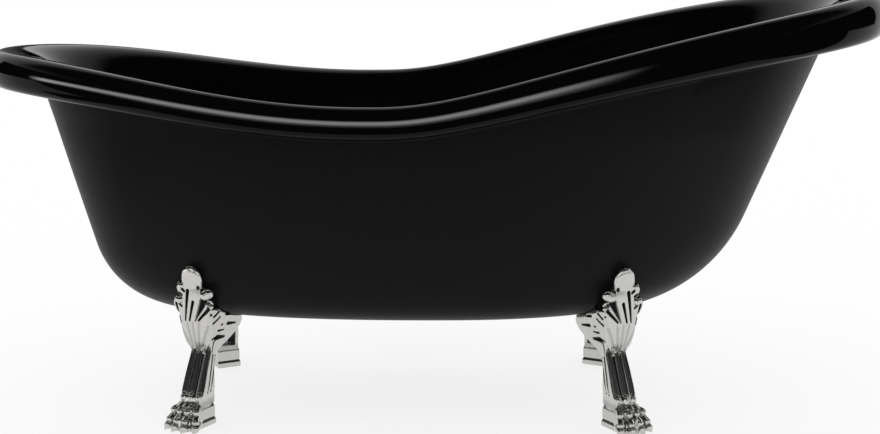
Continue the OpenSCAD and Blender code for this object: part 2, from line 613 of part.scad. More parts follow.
// The cap and the stem that slides in the flange's bar
module plug_cap() chrome() at_waste(cap_z) {
    rotate_extrude($fn = 96) polygon([[0, 0], [plug_r, 0], [plug_r, 1.5],
        for (a = [15:15:90]) [plug_r - 3 + 3 * cos(a), 1.5 + 2.5 * sin(a)],
        for (k = [0.75:-0.25:0]) [(plug_r - 3) * k, 4 + 2 * (1 - k * k)]]);
    translate([0, 0, -stem_l]) cylinder(r = stem_r, h = stem_l + 1);
}
module plug_seal() rubber() at_waste(cap_z - seal_t) ring(bore_r + 2, plug_r - 3, seal_t);

// ---------- Overflow ----------

// A dished cover that stands off the wall on a hub, so that water runs in behind its edge
module overflow_cover() chrome() at_overflow() difference() {
    union() {
        translate([0, 0, 5]) rotate_extrude($fn = 96) polygon([[0, 0], [cover_r, -1], [cover_r, 0],
            for (a = [15:15:90]) [cover_r - 4 + 4 * cos(a), 3 * sin(a)], [0, 4]]);
        translate([0, 0, -2]) cylinder(r = hub_r, h = 8);
    }
    translate([0, 0, -3]) cylinder(r = 2.6, h = 15);
    translate([0, 0, 7]) cylinder(r = 5, h = 5);
}
module overflow_screw() chrome() at_overflow() difference() {
    translate([0, 0, 7]) union() {
        cylinder(r = 4.8, h = 2.5);
        translate([0, 0, -20]) cylinder(r = 2.5, h = 21);
    }
    translate([-0.6, -6, 8.5]) cube([1.2, 12, 2]);
}
module overflow_seal() rubber() at_overflow() translate([0, 0, -inner_t - seal_t - gap])
    ring(neck_r + 0.5, neck_r + neck_rim, seal_t);

module overflow_elbow() plastic() at_overflow() {
    difference() {
        union() {
            translate([0, 0, -inner_t - seal_t - gap - 3]) cylinder(r = neck_r + neck_rim, h = 3);
            translate([0, 0, -elbow_in - elbow_below])
                cylinder(r = elbow_r, h = elbow_in + elbow_below - inner_t - seal_t - gap);
            translate([0, 0, -inner_t - 4]) cylinder(r = neck_r, h = inner_t + 2);
            translate([0, 0, -elbow_in]) rotate([0, 90, 0])
                cylinder(r = nozzle_r, h = hose_end + nozzle_l);
        }
        translate([0, 0, 3 - elbow_in - elbow_below]) cylinder(r = neck_bore_r, h = elbow_in + elbow_below);
        translate([0, 0, -elbow_in]) rotate([0, 90, 0]) cylinder(r = nozzle_r - 2, h = far);
    }
    translate([0, 0, -2 - bar_h - 6]) difference() {
        union() {
            translate([-neck_bore_r - 1, -2, 0]) cube([2 * neck_bore_r + 2, 4, bar_h]);
            cylinder(r = hub_r - 1, h = bar_h + 6);
        }
        translate([0, 0, -1]) cylinder(r = 2.5 + run_gap, h = bar_h + 8);
    }
}

// A place in the plane of the overflow, a distance down the wall and out of it
function by_overflow(down, out) = let (l = basin_foot_lean)
    [-reach(basin_form[1], floor_z, overflow_z), overflow_z]
    + down * [sin(l), -cos(l)] + out * [cos(l), sin(l)];

// The hose runs under the floor, bends up midway between the skins and ends at the elbow
HOSE = concat([for (k = [0:0.25:0.75]) [-inlet_from - k * (hose_bend_x - inlet_from), hose_z]],
    [for (a = [0:11:66]) [-hose_bend_x - hose_bend_r * sin(a), hose_z + hose_bend_r * (1 - cos(a))]],
    [by_overflow(hose_end + nozzle_l + 15, -elbow_in), by_overflow(hose_end, -elbow_in)]);
function hose_ring(i, r) = let (last = len(HOSE) - 1,
    way = HOSE[min(last, i + 1)] - HOSE[max(0, i - 1)], t = way / norm(way))
    [for (k = [0:hose_sides - 1]) let (a = 360 * k / hose_sides)
        [HOSE[i][0] + r * cos(a) * t[1], r * sin(a), HOSE[i][1] - r * cos(a) * t[0]]];
module overflow_hose() plastic() let (last = len(HOSE) - 1, rings = concat(
    [for (i = [0:last]) hose_ring(i, hose_r)], [for (i = [last:-1:0]) hose_ring(i, hose_bore)]))
    polyhedron([for (r = rings) each r], sides(len(rings), hose_sides, len(rings)), convexity = 8);

module hose_clip() {
    ring(hose_r + gap, hose_r + gap + 1.2, 9);
    translate([-4, hose_r + gap + 0.6, 0]) cube([8, 5, 9]);
}
module hose_clips() steel() {
    translate([-inlet_from - 6, 0, hose_z]) rotate([0, -90, 0]) hose_clip();
    at_overflow() translate([hose_end + 6, 0, -elbow_in]) rotate([0, 90, 0]) hose_clip();
}

// ---------- Assembly ----------

inner_shell();
outer_shell();
base_board();
for (e = ENDS) {
    foot(e);
    foot_bracket(e);
    foot_block(e);
    leveller_screw(e);
    leveller_pad(e);
}
leveller_lock_nuts();
foot_screws();
bracket_bolts();
bracket_washers();
block_inserts();
waste_flange();
waste_top_seal();
waste_bottom_seal();
waste_body();
plug_cap();
plug_seal();
overflow_cover();
overflow_screw();
overflow_seal();
overflow_elbow();
overflow_hose();
hose_clips();
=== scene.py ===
"""A double-skinned slipper bath with a rolled rim, on four cast lion's-paw feet, with its waste and overflow.

The bath's lengths are millimetres until a mesh is made, which scales them to metres, and the studio's are
metres. The axes are the frame's: +X points to the high head end, -X to the low foot end with the waste, -Y to
the front and +Z up.
"""

import logging
import math
from dataclasses import dataclass, replace
from enum import Enum
from typing import Iterable, Sequence

import bmesh
import bpy
import numpy as np
from mathutils import Matrix

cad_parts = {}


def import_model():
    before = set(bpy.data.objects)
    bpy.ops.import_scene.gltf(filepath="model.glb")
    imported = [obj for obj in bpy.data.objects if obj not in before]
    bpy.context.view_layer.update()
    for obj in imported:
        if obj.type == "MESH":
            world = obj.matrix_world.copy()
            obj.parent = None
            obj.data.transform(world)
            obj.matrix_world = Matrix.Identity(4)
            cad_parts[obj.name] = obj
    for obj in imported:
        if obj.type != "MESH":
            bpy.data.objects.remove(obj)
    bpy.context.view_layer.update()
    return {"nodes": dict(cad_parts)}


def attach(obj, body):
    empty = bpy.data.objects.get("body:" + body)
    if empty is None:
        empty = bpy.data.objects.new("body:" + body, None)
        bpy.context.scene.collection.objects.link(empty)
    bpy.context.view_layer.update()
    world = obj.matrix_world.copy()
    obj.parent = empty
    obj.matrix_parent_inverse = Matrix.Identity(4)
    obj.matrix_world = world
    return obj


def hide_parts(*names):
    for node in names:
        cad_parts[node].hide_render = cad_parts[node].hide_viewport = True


LOG = logging.getLogger("bath")
MM = 0.001
IMAGE_WIDTH = 880
CASTING_STEP = 1.25
Array = np.ndarray
Profile = tuple[tuple[float, float], ...]


class Hand(Enum):
    """The end that a foot stands at, seen from the front, valued by its direction along X."""

    LEFT = -1
    RIGHT = 1


class Row(Enum):
    """The near and the far row of feet, valued by their direction along Y."""

    FRONT = -1
    BACK = 1


# ---------------------------------------------------------------- nodes and materials


def linear(code: str) -> tuple[float, float, float, float]:
    """Turn an sRGB hex colour into linear red, green, blue and alpha.

    Args:
        code: Six hex digits after a hash sign.

    Returns:
        The linear colour with alpha 1.
    """
    srgb = np.array([int(code[i:i + 2], 16) for i in (1, 3, 5)]) / 255
    rgb = np.where(srgb <= 0.04045, srgb / 12.92, ((srgb + 0.055) / 1.055) ** 2.4)
    return (*(float(v) for v in rgb), 1.0)


def add_node(tree: bpy.types.NodeTree, kind: str, settings: dict | None = None, **links) -> bpy.types.Node:
    """Add a node with its settings, and link or set its inputs.

    Args:
        tree: The node tree that gets the node.
        kind: The node's type name.
        settings: Properties of the node itself.
        **links: Inputs by name, with underscores for spaces, or by number as i0, i1 and so on. A socket
            is linked and any other value is set.

    Returns:
        The new node.
    """
    node = tree.nodes.new(kind)
    for key, value in (settings or {}).items():
        setattr(node, key, value)
    for key, value in links.items():
        socket = node.inputs[int(key[1:])] if key[1:].isdigit() else node.inputs[key.replace("_", " ")]
        if isinstance(value, bpy.types.NodeSocket):
            tree.links.new(value, socket)
        else:
            socket.default_value = value
    return node


def new_material(name: str) -> tuple[bpy.types.Material, bpy.types.NodeTree]:
    """Make a material with an empty node tree.

    Args:
        name: The material's name.

    Returns:
        The material and its tree.
    """
    material = bpy.data.materials.new(name)
    material.use_nodes = True
    material.node_tree.nodes.clear()
    return material, material.node_tree


def ramp(tree: bpy.types.NodeTree, value: bpy.types.NodeSocket, low: float, high: float
         ) -> bpy.types.NodeSocket:
    """Climb from 0 where a value is low to 1 where it is high, by a smoothstep."""
    return add_node(tree, "ShaderNodeMapRange", {"interpolation_type": "SMOOTHSTEP"}, Value=value,
                    From_Min=low, From_Max=high).outputs[0]


def product(tree: bpy.types.NodeTree, first: bpy.types.NodeSocket, *others: bpy.types.NodeSocket | float
            ) -> bpy.types.NodeSocket:
    """Multiply a socket by others or by numbers."""
    for other in others:
        first = add_node(tree, "ShaderNodeMath", {"operation": "MULTIPLY"}, i0=first, i1=other).outputs[0]
    return first


@dataclass(frozen=True)
class Finish:
    """A material named for its real finish, whose colour, roughness and bump vary as the real one's do, and
    which can paint shade into carved hollows.

    Attributes:
        name: The finish in plain words.
        colour: The main colour as sRGB hex.
        second: The colour that the pattern moves towards.
        roughness: Lowest and highest roughness of the pattern.
        metallic: 1 for a metal.
        ior: Index of refraction of a plastic or lacquer.
        grain: Size of the pattern in millimetres.
        stretch: How much longer the pattern is along X, Y and Z.
        detail: Fractal detail of the pattern.
        bump: Height of the pattern in millimetres.
        coat: Weight of a clear coat.
        recess: Colour of painted shade in carved hollows, whose share is the first number of the piece's own
            UV map.
    """

    name: str
    colour: str
    second: str
    roughness: tuple[float, float]
    metallic: float = 0.0
    ior: float = 1.5
    grain: float = 4.0
    stretch: tuple[float, float, float] = (1.0, 1.0, 1.0)
    detail: float = 2.0
    bump: float = 0.0
    coat: float = 0.0
    recess: str = ""

    def build(self) -> bpy.types.Material:
        """Make the material: one noise on Object coordinates drives colour, roughness and bump, and a share
        from the UV map paints shade in the recess colour.

        Returns:
            The new material.
        """
        material, tree = new_material(self.name)
        place = add_node(tree, "ShaderNodeTexCoord")
        scale = tuple(1.0 / s for s in self.stretch)
        turned = add_node(tree, "ShaderNodeMapping", Vector=place.outputs["Object"], Scale=scale)
        noise = add_node(tree, "ShaderNodeTexNoise", Vector=turned.outputs[0],
                         Scale=1.0 / (self.grain * MM), Detail=self.detail)
        tone = add_node(tree, "ShaderNodeMix", {"data_type": "RGBA"}, Factor=noise.outputs[0],
                        i6=linear(self.colour), i7=linear(self.second))
        rough = add_node(tree, "ShaderNodeMapRange", Value=noise.outputs[0], From_Min=0.3, From_Max=0.7,
                         To_Min=self.roughness[0], To_Max=self.roughness[1])
        # Painted shade: the UV map's share mixes the colour towards the recess colour and the roughness
        # towards 0.5
        if self.recess:
            share = add_node(tree, "ShaderNodeSeparateXYZ", Vector=place.outputs["UV"])
            tone = add_node(tree, "ShaderNodeMix", {"data_type": "RGBA"}, Factor=share.outputs[0],
                            i6=tone.outputs[2], i7=linear(self.recess))
            rough = add_node(tree, "ShaderNodeMix", Factor=share.outputs[0], A=rough.outputs[0], B=0.5)
        shader = add_node(tree, "ShaderNodeBsdfPrincipled", Base_Color=tone.outputs[2],
                          Roughness=rough.outputs[0], Metallic=self.metallic, IOR=self.ior,
                          Coat_Weight=self.coat)
        if self.bump:
            relief = add_node(tree, "ShaderNodeBump", Height=noise.outputs[0], Distance=self.bump * MM,
                              Strength=1.0)
            tree.links.new(relief.outputs[0], shader.inputs["Normal"])
        add_node(tree, "ShaderNodeOutputMaterial", Surface=shader.outputs[0])
        return material


# Cast acrylic sheet, vacuum formed and buffed: a deep wet black with faint orange peel
GLOSS_ACRYLIC = Finish("cast acrylic, buffed to a high gloss", "#040404", "#060606", (0.05, 0.07),
                       ior=1.2, grain=9, bump=0.004)
# The same sheet as it leaves the mould: a softer black whose reflections spread into a sheen
SATIN_ACRYLIC = Finish("cast acrylic, mould satin", "#121212", "#151515", (0.4, 0.44), ior=1.17, grain=14,
                       bump=0.004)
# Nickel and chrome over a polished casting: a bright mirror, faintly hazy where the wheel ran
CHROME = Finish("chrome plate on a polished casting", "#e3e2df", "#dbdad7", (0.05, 0.1), 1.0, grain=7,
                bump=0.006)
# The same plate on a carved casting, with painted shade: its hollows, flutes, veins and the paw's top are
# mixed towards a dark grey where shade and dark reflections fall
CARVED_CHROME = replace(CHROME, name="chrome plate on a carved casting", colour="#cfcecb", second="#c4c3c1",
                        roughness=(0.13, 0.2), recess="#242424")
# Chrome over turned brass, flatter and smoother than the casting
TURNED_CHROME = Finish("chrome plate on turned brass", "#e4e4e4", "#dcdcde", (0.04, 0.08), 1.0, grain=3)
# Steel with a clear passivated zinc coat: blue-grey with a faint spangle
ZINC = Finish("bright zinc plate on steel", "#b4b8bd", "#9da2a8", (0.22, 0.4), 1.0, grain=2.5, detail=4,
              bump=0.01)
# Machined brass with fine lines along its axis, dulled by handling
BRASS = Finish("turned brass", "#c6a75c", "#b08f45", (0.2, 0.34), 1.0, grain=1.2, stretch=(1, 1, 6),
               bump=0.01)
# Pressed wood board sealed with resin: brown flakes lying flat
BOARD = Finish("resin-sealed particle board", "#b08c5f", "#7d5c38", (0.5, 0.75), grain=5,
               stretch=(2, 2, 0.5), detail=6, bump=0.12, coat=0.2)
# Soft seals and pads, matt and faintly pitted from the mould
RUBBER = Finish("moulded black rubber", "#1f1f1f", "#2c2c2b", (0.62, 0.8), grain=1.5, detail=5, bump=0.03)
# The waste's body and the elbow, waxy white with a slight ripple
WHITE_PLASTIC = Finish("injection-moulded white polypropylene", "#e2e1dc", "#d8d7d1", (0.34, 0.46),
                       grain=2, bump=0.008)
# The overflow's hose, a flat grey
HOSE_PLASTIC = Finish("extruded grey polypropylene", "#8d9093", "#82868a", (0.4, 0.55), grain=2, bump=0.01)


# ---------------------------------------------------------------- meshes


def make_piece(name: str, points: Array, blocks: Sequence[Array], material: bpy.types.Material,
               smooth: bool = True) -> bpy.types.Object:
    """Put points and faces into a mesh object at the origin.

    Args:
        name: The piece's name.
        points: Points in millimetres, one row each.
        blocks: Arrays of corner numbers, one row a face. The faces of one array have as many corners.
        material: What the piece is dressed with.
        smooth: Whether its faces are shaded smooth.

    Returns:
        The new object, linked to the scene.
    """
    mesh = bpy.data.meshes.new(name)
    mesh.from_pydata((points * MM).tolist(), [], sum((block.tolist() for block in blocks), []))
    mesh.polygons.foreach_set("use_smooth", np.full(len(mesh.polygons), smooth))
    mesh.materials.append(material)
    mesh.update()
    piece = bpy.data.objects.new(name, mesh)
    bpy.context.scene.collection.objects.link(piece)
    return piece


def band_faces(rings: int, columns: int) -> Array:
    """Quads between rings of columns that close on themselves.

    Args:
        rings: Number of rings.
        columns: Points in each ring.

    Returns:
        Corner numbers, four a face.
    """
    j = np.arange(rings - 1)[:, None]
    i = np.arange(columns)[None, :]
    here, there = j * columns, (j + 1) * columns
    after = (i + 1) % columns
    return np.stack([here + i, here + after, there + after, there + i], -1).reshape(-1, 4)


def closed_loft(name: str, rings: Array, material: bpy.types.Material) -> bpy.types.Object:
    """Make a closed skin through rings, whose first and last ring each close on their own middle. The sum
    of the corners' triple products over the faces tells whether they look inwards, and then they are turned.

    Args:
        name: The piece's name.
        rings: Points as rings by columns by 3.
        material: What the piece is dressed with.

    Returns:
        The new object, with its faces outward.
    """
    count, columns = rings.shape[:2]
    points = np.concatenate([rings.reshape(-1, 3), rings[[0, -1]].mean(1)])
    i = np.arange(columns)
    after, last = (i + 1) % columns, (count - 1) * columns
    middle = np.full(columns, count * columns)
    quads = band_faces(count, columns)
    caps = np.concatenate([np.stack([after, i, middle], -1),
                           np.stack([last + i, last + after, middle + 1], -1)])
    a, b, c = np.moveaxis(points[np.concatenate([quads[:, :3], quads[:, [0, 2, 3]], caps])], 1, 0)
    turn = -1 if (a * np.cross(b, c)).sum() < 0 else 1
    return make_piece(name, points, [quads[:, ::turn], caps[:, ::turn]], material)


def cylinder_cutter(radius: float, length: float, matrix: Matrix, sides: int = 64) -> bpy.types.Object:
    """Make a closed cylinder about its own Z.

    Args:
        radius: Its radius.
        length: How far it reaches from its middle to either end.
        matrix: Its place and axes in metres.
        sides: Number of flats round it.

    Returns:
        The new object.
    """
    form = bmesh.new()
    bmesh.ops.create_cone(form, cap_ends=True, segments=sides, radius1=radius * MM, radius2=radius * MM,
                          depth=2 * length * MM, matrix=matrix)
    mesh = bpy.data.meshes.new("cutter")
    form.to_mesh(mesh)
    form.free()
    cutter = bpy.data.objects.new("cutter", mesh)
    bpy.context.scene.collection.objects.link(cutter)
    return cutter


def drill(piece: bpy.types.Object, cutters: Sequence[bpy.types.Object]) -> None:
    """Cut each cutter out of a piece, keep the result as its mesh and delete the cutters.

    Args:
        piece: The piece that gets the holes.
        cutters: Closed forms, which are used up.
    """
    for cutter in cutters:
        step = piece.modifiers.new("hole", "BOOLEAN")
        step.operation = "DIFFERENCE"
        step.solver = "EXACT"
        step.object = cutter
    bpy.context.view_layer.update()
    result = bpy.data.meshes.new_from_object(piece.evaluated_get(bpy.context.evaluated_depsgraph_get()))
    piece.modifiers.clear()
    old = piece.data
    piece.data = result
    bpy.data.meshes.remove(old)
    for cutter in cutters:
        bpy.data.objects.remove(cutter)


# ---------------------------------------------------------------- the bath's form


@dataclass(frozen=True)
class Wall:
    """One side of a skin: an arc up from the flat floor, then a wall that leans by some degrees and is
    given by its reach at its top."""

    reach: float
    top: float
    lean: float
    fillet: float

    def at(self, base: float, z: Array) -> Array:
        """How far out the wall lies: a flat end plus the arc's chord below the arc's top, a line above it.

        Args:
            base: Height of the skin's flat.
            z: Heights.

        Returns:
            The reach at each height.
        """
        lean = math.radians(self.lean)
        arc_top = base + self.fillet * (1 - math.sin(lean))
        flat = self.reach + (arc_top - self.top) * math.tan(lean) - self.fillet * math.cos(lean)
        up = self.fillet - np.clip(z - base, 0, self.fillet)
        arc = flat + np.sqrt(np.clip(self.fillet ** 2 - up ** 2, 0, None))
        return np.where(z < arc_top, arc, self.reach + (z - self.top) * math.tan(lean))

    def grown(self, by: float) -> "Wall":
        """The same wall set out by a distance square to its face."""
        return replace(self, reach=self.reach + by / math.cos(math.radians(self.lean)),
                       fillet=self.fillet + by)


@dataclass(frozen=True)
class Skin:
    """A skin of the bath: the level of its flat, and its foot end, head end and side walls."""

    base: float
    foot: Wall
    head: Wall
    side: Wall

    def grown(self, by: float) -> "Skin":
        """The same skin set outwards by a distance."""
        return Skin(self.base - by, self.foot.grown(by), self.head.grown(by), self.side.grown(by))


@dataclass(frozen=True)
class Columns:
    """Plan directions round the bath: signs, cosine and sine of the direction, and its squareness."""

    sign_x: Array
    sign_y: Array
    cos: Array
    sin: Array
    square: Array


@dataclass(frozen=True)
class BathForm:
    """The bath's driving sizes and the surfaces that follow from them.

    The squares are powers of superellipses, the sweeps are shares of half a cosine wave, and each wall and
    basin pair is a lean in degrees and the radius of the arc under it.
    """

    length: float = 1700
    width: float = 746
    waist_h: float = 609
    foot_end_h: float = 683
    head_end_h: float = 793
    waist_shift: float = 134
    roll_out: float = 26
    lip_depth: float = 58
    lip_growth: float = 0.13
    foot_square: float = 2.19
    head_square: float = 3.57
    side_square: float = 2.0
    base_square: float = 2.3
    lip_square: float = 2.8
    lip_end: float = 165
    foot_sweep: float = 0.944
    head_sweep: float = 0.73
    head_ease: float = 0.41
    head_soft: float = 0.08
    outer_t: float = 6
    inner_t: float = 7
    underside: float = 197
    floor_rise: float = 53
    foot_overhang: float = 100
    head_overhang: float = 110
    side_overhang: float = 51
    foot_gap: float = 50
    head_gap: float = 40
    side_gap: float = 18
    foot_wall: tuple[float, float] = (17.2, 164)
    head_wall: tuple[float, float] = (23, 283)
    side_wall: tuple[float, float] = (9.6, 82)
    foot_basin: tuple[float, float] = (20, 170)
    head_basin: tuple[float, float] = (27, 290)
    side_basin: tuple[float, float] = (11, 110)

    @property
    def crest_l(self) -> float:
        """Half the length of the crest's plan."""
        return self.length / 2 - self.roll_out

    @property
    def crest_w(self) -> float:
        """Half the width of the crest's plan."""
        return self.width / 2 - self.roll_out

    @property
    def floor(self) -> float:
        """Height of the basin's floor."""
        return self.underside + self.floor_rise

    @property
    def side_top(self) -> float:
        """Height at which the walls meet the lip at the waist."""
        return self.waist_h - self.lip_depth

    @property
    def outer(self) -> Skin:
        """The outer skin's outside, whose walls end at the lip's lower edge."""
        foot_top, head_top = (h - self.lip_of(h) for h in (self.foot_end_h, self.head_end_h))
        return Skin(self.underside, Wall(self.length / 2 - self.foot_overhang, foot_top, *self.foot_wall),
                    Wall(self.length / 2 - self.head_overhang, head_top, *self.head_wall),
                    Wall(self.width / 2 - self.side_overhang, self.side_top, *self.side_wall))

    @property
    def basin(self) -> Skin:
        """The basin's inside."""
        out = self.outer
        return Skin(self.floor, Wall(out.foot.reach - self.foot_gap, out.foot.top, *self.foot_basin),
                    Wall(out.head.reach - self.head_gap, out.head.top, *self.head_basin),
                    Wall(out.side.reach - self.side_gap, out.side.top, *self.side_basin))

    def lip_of(self, crest: Array | float) -> Array | float:
        """Depth of the lip under a crest height: it grows as the crest climbs."""
        return self.lip_depth + self.lip_growth * (crest - self.waist_h)

    def crest_z(self, x: Array) -> Array:
        """Height of the crest: part of a cosine wave from the waist to each end, eased at the head by a
        power of the way there, softened near the waist.

        Args:
            x: Places along the bath.

        Returns:
            The crest's height at each place.
        """

        def wave(t: Array, share: float) -> Array:
            """A share of half a cosine wave, from 0 to 1."""
            return (1 - np.cos(math.pi * share * t)) / (1 - math.cos(math.pi * share))

        power, soft = self.head_ease, self.head_soft
        start = soft ** power
        low = np.clip((-self.waist_shift - x) / (self.crest_l - self.waist_shift), 0, None)
        high = np.clip((x + self.waist_shift) / (self.crest_l + self.waist_shift), 0, None)
        eased = (np.hypot(high, soft) ** power - start) / (math.hypot(1, soft) ** power - start)
        return (self.waist_h + (self.foot_end_h - self.waist_h) * wave(low, self.foot_sweep)
                + (self.head_end_h - self.waist_h) * wave(eased, self.head_sweep))

    def columns(self, quarter: int) -> Columns:
        """Plan directions, crowded so that the points lie evenly along the bath.

        Args:
            quarter: Directions in a quarter of the bath.

        Returns:
            The directions, anticlockwise from +X.
        """
        i = np.arange(4 * quarter)
        q, f = i // quarter, (i % quarter) / quarter
        p = np.where(q % 2 == 0, 1 - f, f)
        high = (q == 0) | (q == 3)
        square = np.where(high, self.head_square, self.foot_square)
        turn = math.pi / 2 * (1 - p ** (square / 2))
        return Columns(np.where(high, 1.0, -1.0), np.where(q < 2, 1.0, -1.0), np.cos(turn).clip(0),
                       np.sin(turn).clip(0), square)

    def squares(self, skin: Skin, square: Array, z: Array) -> tuple[Array, Array]:
        """Powers of a skin's superellipse, which move from the base's to the rim's by the square of the
        climb to the lip.

        Args:
            skin: The skin.
            square: The rim's power along X, at each place.
            z: Heights.

        Returns:
            The powers along X and along Y.
        """
        k = np.clip((z - skin.base) / (self.side_top - skin.base), 0, 1) ** 2
        return (self.base_square + (square - self.base_square) * k,
                self.base_square + (self.side_square - self.base_square) * k)

    def on_skin(self, skin: Skin, way: Columns, z: Array) -> Array:
        """Points of a skin: a superellipse in plan, whose reaches and powers follow the height.

        Args:
            skin: The skin.
            way: Plan directions.
            z: Heights, which broadcast with the directions.

        Returns:
            The points.
        """
        nx, ny = self.squares(skin, way.square, z)
        end = np.where(way.sign_x < 0, skin.foot.at(skin.base, z), skin.head.at(skin.base, z))
        x = way.sign_x * way.cos ** (2 / nx) * end
        y = way.sign_y * way.sin ** (2 / ny) * skin.side.at(skin.base, z)
        return np.stack([x, y, z + 0 * x], -1)

    def crest_at(self, way: Columns) -> Array:
        """Points of the crest, a superellipse in plan that rides on the crest's height."""
        x = way.sign_x * way.cos ** (2 / way.square) * self.crest_l
        return np.stack([x, way.sign_y * way.sin * self.crest_w, self.crest_z(x)], -1)

    def crest_out(self, way: Columns) -> Array:
        """Outward directions of the crest in plan: the superellipse's gradient, made a unit.

        Args:
            way: Plan directions.

        Returns:
            A level unit vector for each direction.
        """
        c = self.crest_at(way)
        nx = way.sign_x * way.square * np.abs(c[:, 0] / self.crest_l) ** (way.square - 1) / self.crest_l
        ny = self.side_square * c[:, 1] / self.crest_w ** 2
        size = np.hypot(nx, ny)
        return np.stack([nx / size, ny / size, 0 * nx], -1)

    def skin_rings(self, skin: Skin, way: Columns, steps: Array) -> Array:
        """Rings up a skin: the height climbs by one minus the cosine of a quarter turn times the step. Its
        top is found by stepping to where the skin meets the lip's lower edge.

        Args:
            skin: The skin.
            way: Plan directions.
            steps: Steps from 0 at the flat to 1 at the top.

        Returns:
            Points as rings by columns by 3.
        """
        top = np.full(len(way.cos), self.side_top)
        for _ in range(6):
            crest = self.crest_z(self.on_skin(skin, way, top)[:, 0])
            top = crest - self.lip_of(crest)
        z = skin.base + (top - skin.base)[None, :] * (1 - np.cos(math.pi / 2 * steps))[:, None]
        return self.on_skin(skin, way, z)

    def floor_rings(self, skin: Skin, way: Columns, shares: Array) -> Array:
        """Rings on a skin's flat: its lowest ring shrunk towards the middle.

        Args:
            skin: The skin.
            way: Plan directions.
            shares: Size of each ring as a share of the lowest ring's.

        Returns:
            Points as rings by columns by 3.
        """
        rings = self.skin_rings(skin, way, np.zeros(1)) * shares[:, None, None]
        rings[..., 2] = skin.base
        return rings

    def lip_rings(self, way: Columns, angles: Array, inset: float) -> Array:
        """Rings round the lip, each an angle from the crest: an ellipse above, a squarer one below.

        Args:
            way: Plan directions.
            angles: Angles in degrees.
            inset: How far inside the lip's face they lie.

        Returns:
            Points as rings by columns by 3.
        """
        c, out = self.crest_at(way), self.crest_out(way)
        h = (self.lip_of(c[:, 2]) / 2)[None, :]
        a = np.radians(angles)[:, None]
        e = np.where(a > math.pi / 2, 2 / self.lip_square, 1)
        s = np.sin(a).clip(0) ** e * (self.roll_out - inset)
        v = np.abs(np.cos(a)) ** e * np.sign(np.cos(a))
        rings = c[None] + out[None] * s[..., None]
        rings[..., 2] -= h - (h - inset) * v
        return rings

    def roll_rings(self, skin: Skin, way: Columns, t: Array, inset: float) -> Array:
        """Rings of the roll from a skin's top to the crest: a Hermite cubic, which leaves along the wall and
        arrives level.

        Args:
            skin: The skin.
            way: Plan directions.
            t: Places along the cubic, from 0 to 1.
            inset: How far under the crest it ends.

        Returns:
            Points as rings by columns by 3.
        """
        low, a = self.skin_rings(skin, way, np.array([0.94, 1.0]))
        b = self.crest_at(way) - [0, 0, inset]
        span = np.linalg.norm(b - a, axis=1, keepdims=True) * 1.1
        up = (a - low) / np.linalg.norm(a - low, axis=1, keepdims=True) * span
        level = self.crest_out(way) * span
        t = t[:, None, None]
        return (a * (2 * t ** 3 - 3 * t ** 2 + 1) + up * (t ** 3 - 2 * t ** 2 + t)
                + b * (3 * t ** 2 - 2 * t ** 3) + level * (t ** 3 - t ** 2))

    def outside(self, x: Array, y: Array, z: Array) -> Array:
        """How far a point lies outside the outer skin: the superellipse's level less 1, over its slope.

        Args:
            x: Places along the bath.
            y: Places across it.
            z: Heights.

        Returns:
            The distance, nearly true near the skin and negative inside it.
        """
        skin = self.outer
        high = np.maximum(z, skin.base)
        nx, ny = self.squares(skin, np.where(x < 0, self.foot_square, self.head_square), high)
        end = np.where(x < 0, skin.foot.at(skin.base, high), skin.head.at(skin.base, high))
        side = skin.side.at(skin.base, high)
        level = np.abs(x / end) ** nx + np.abs(y / side) ** ny
        slope = nx * np.abs(x / end) ** (nx - 1) / end + 1j * ny * np.abs(y / side) ** (ny - 1) / side
        return np.maximum((level - 1) / np.maximum(np.abs(slope), 1e-4), skin.base - z)


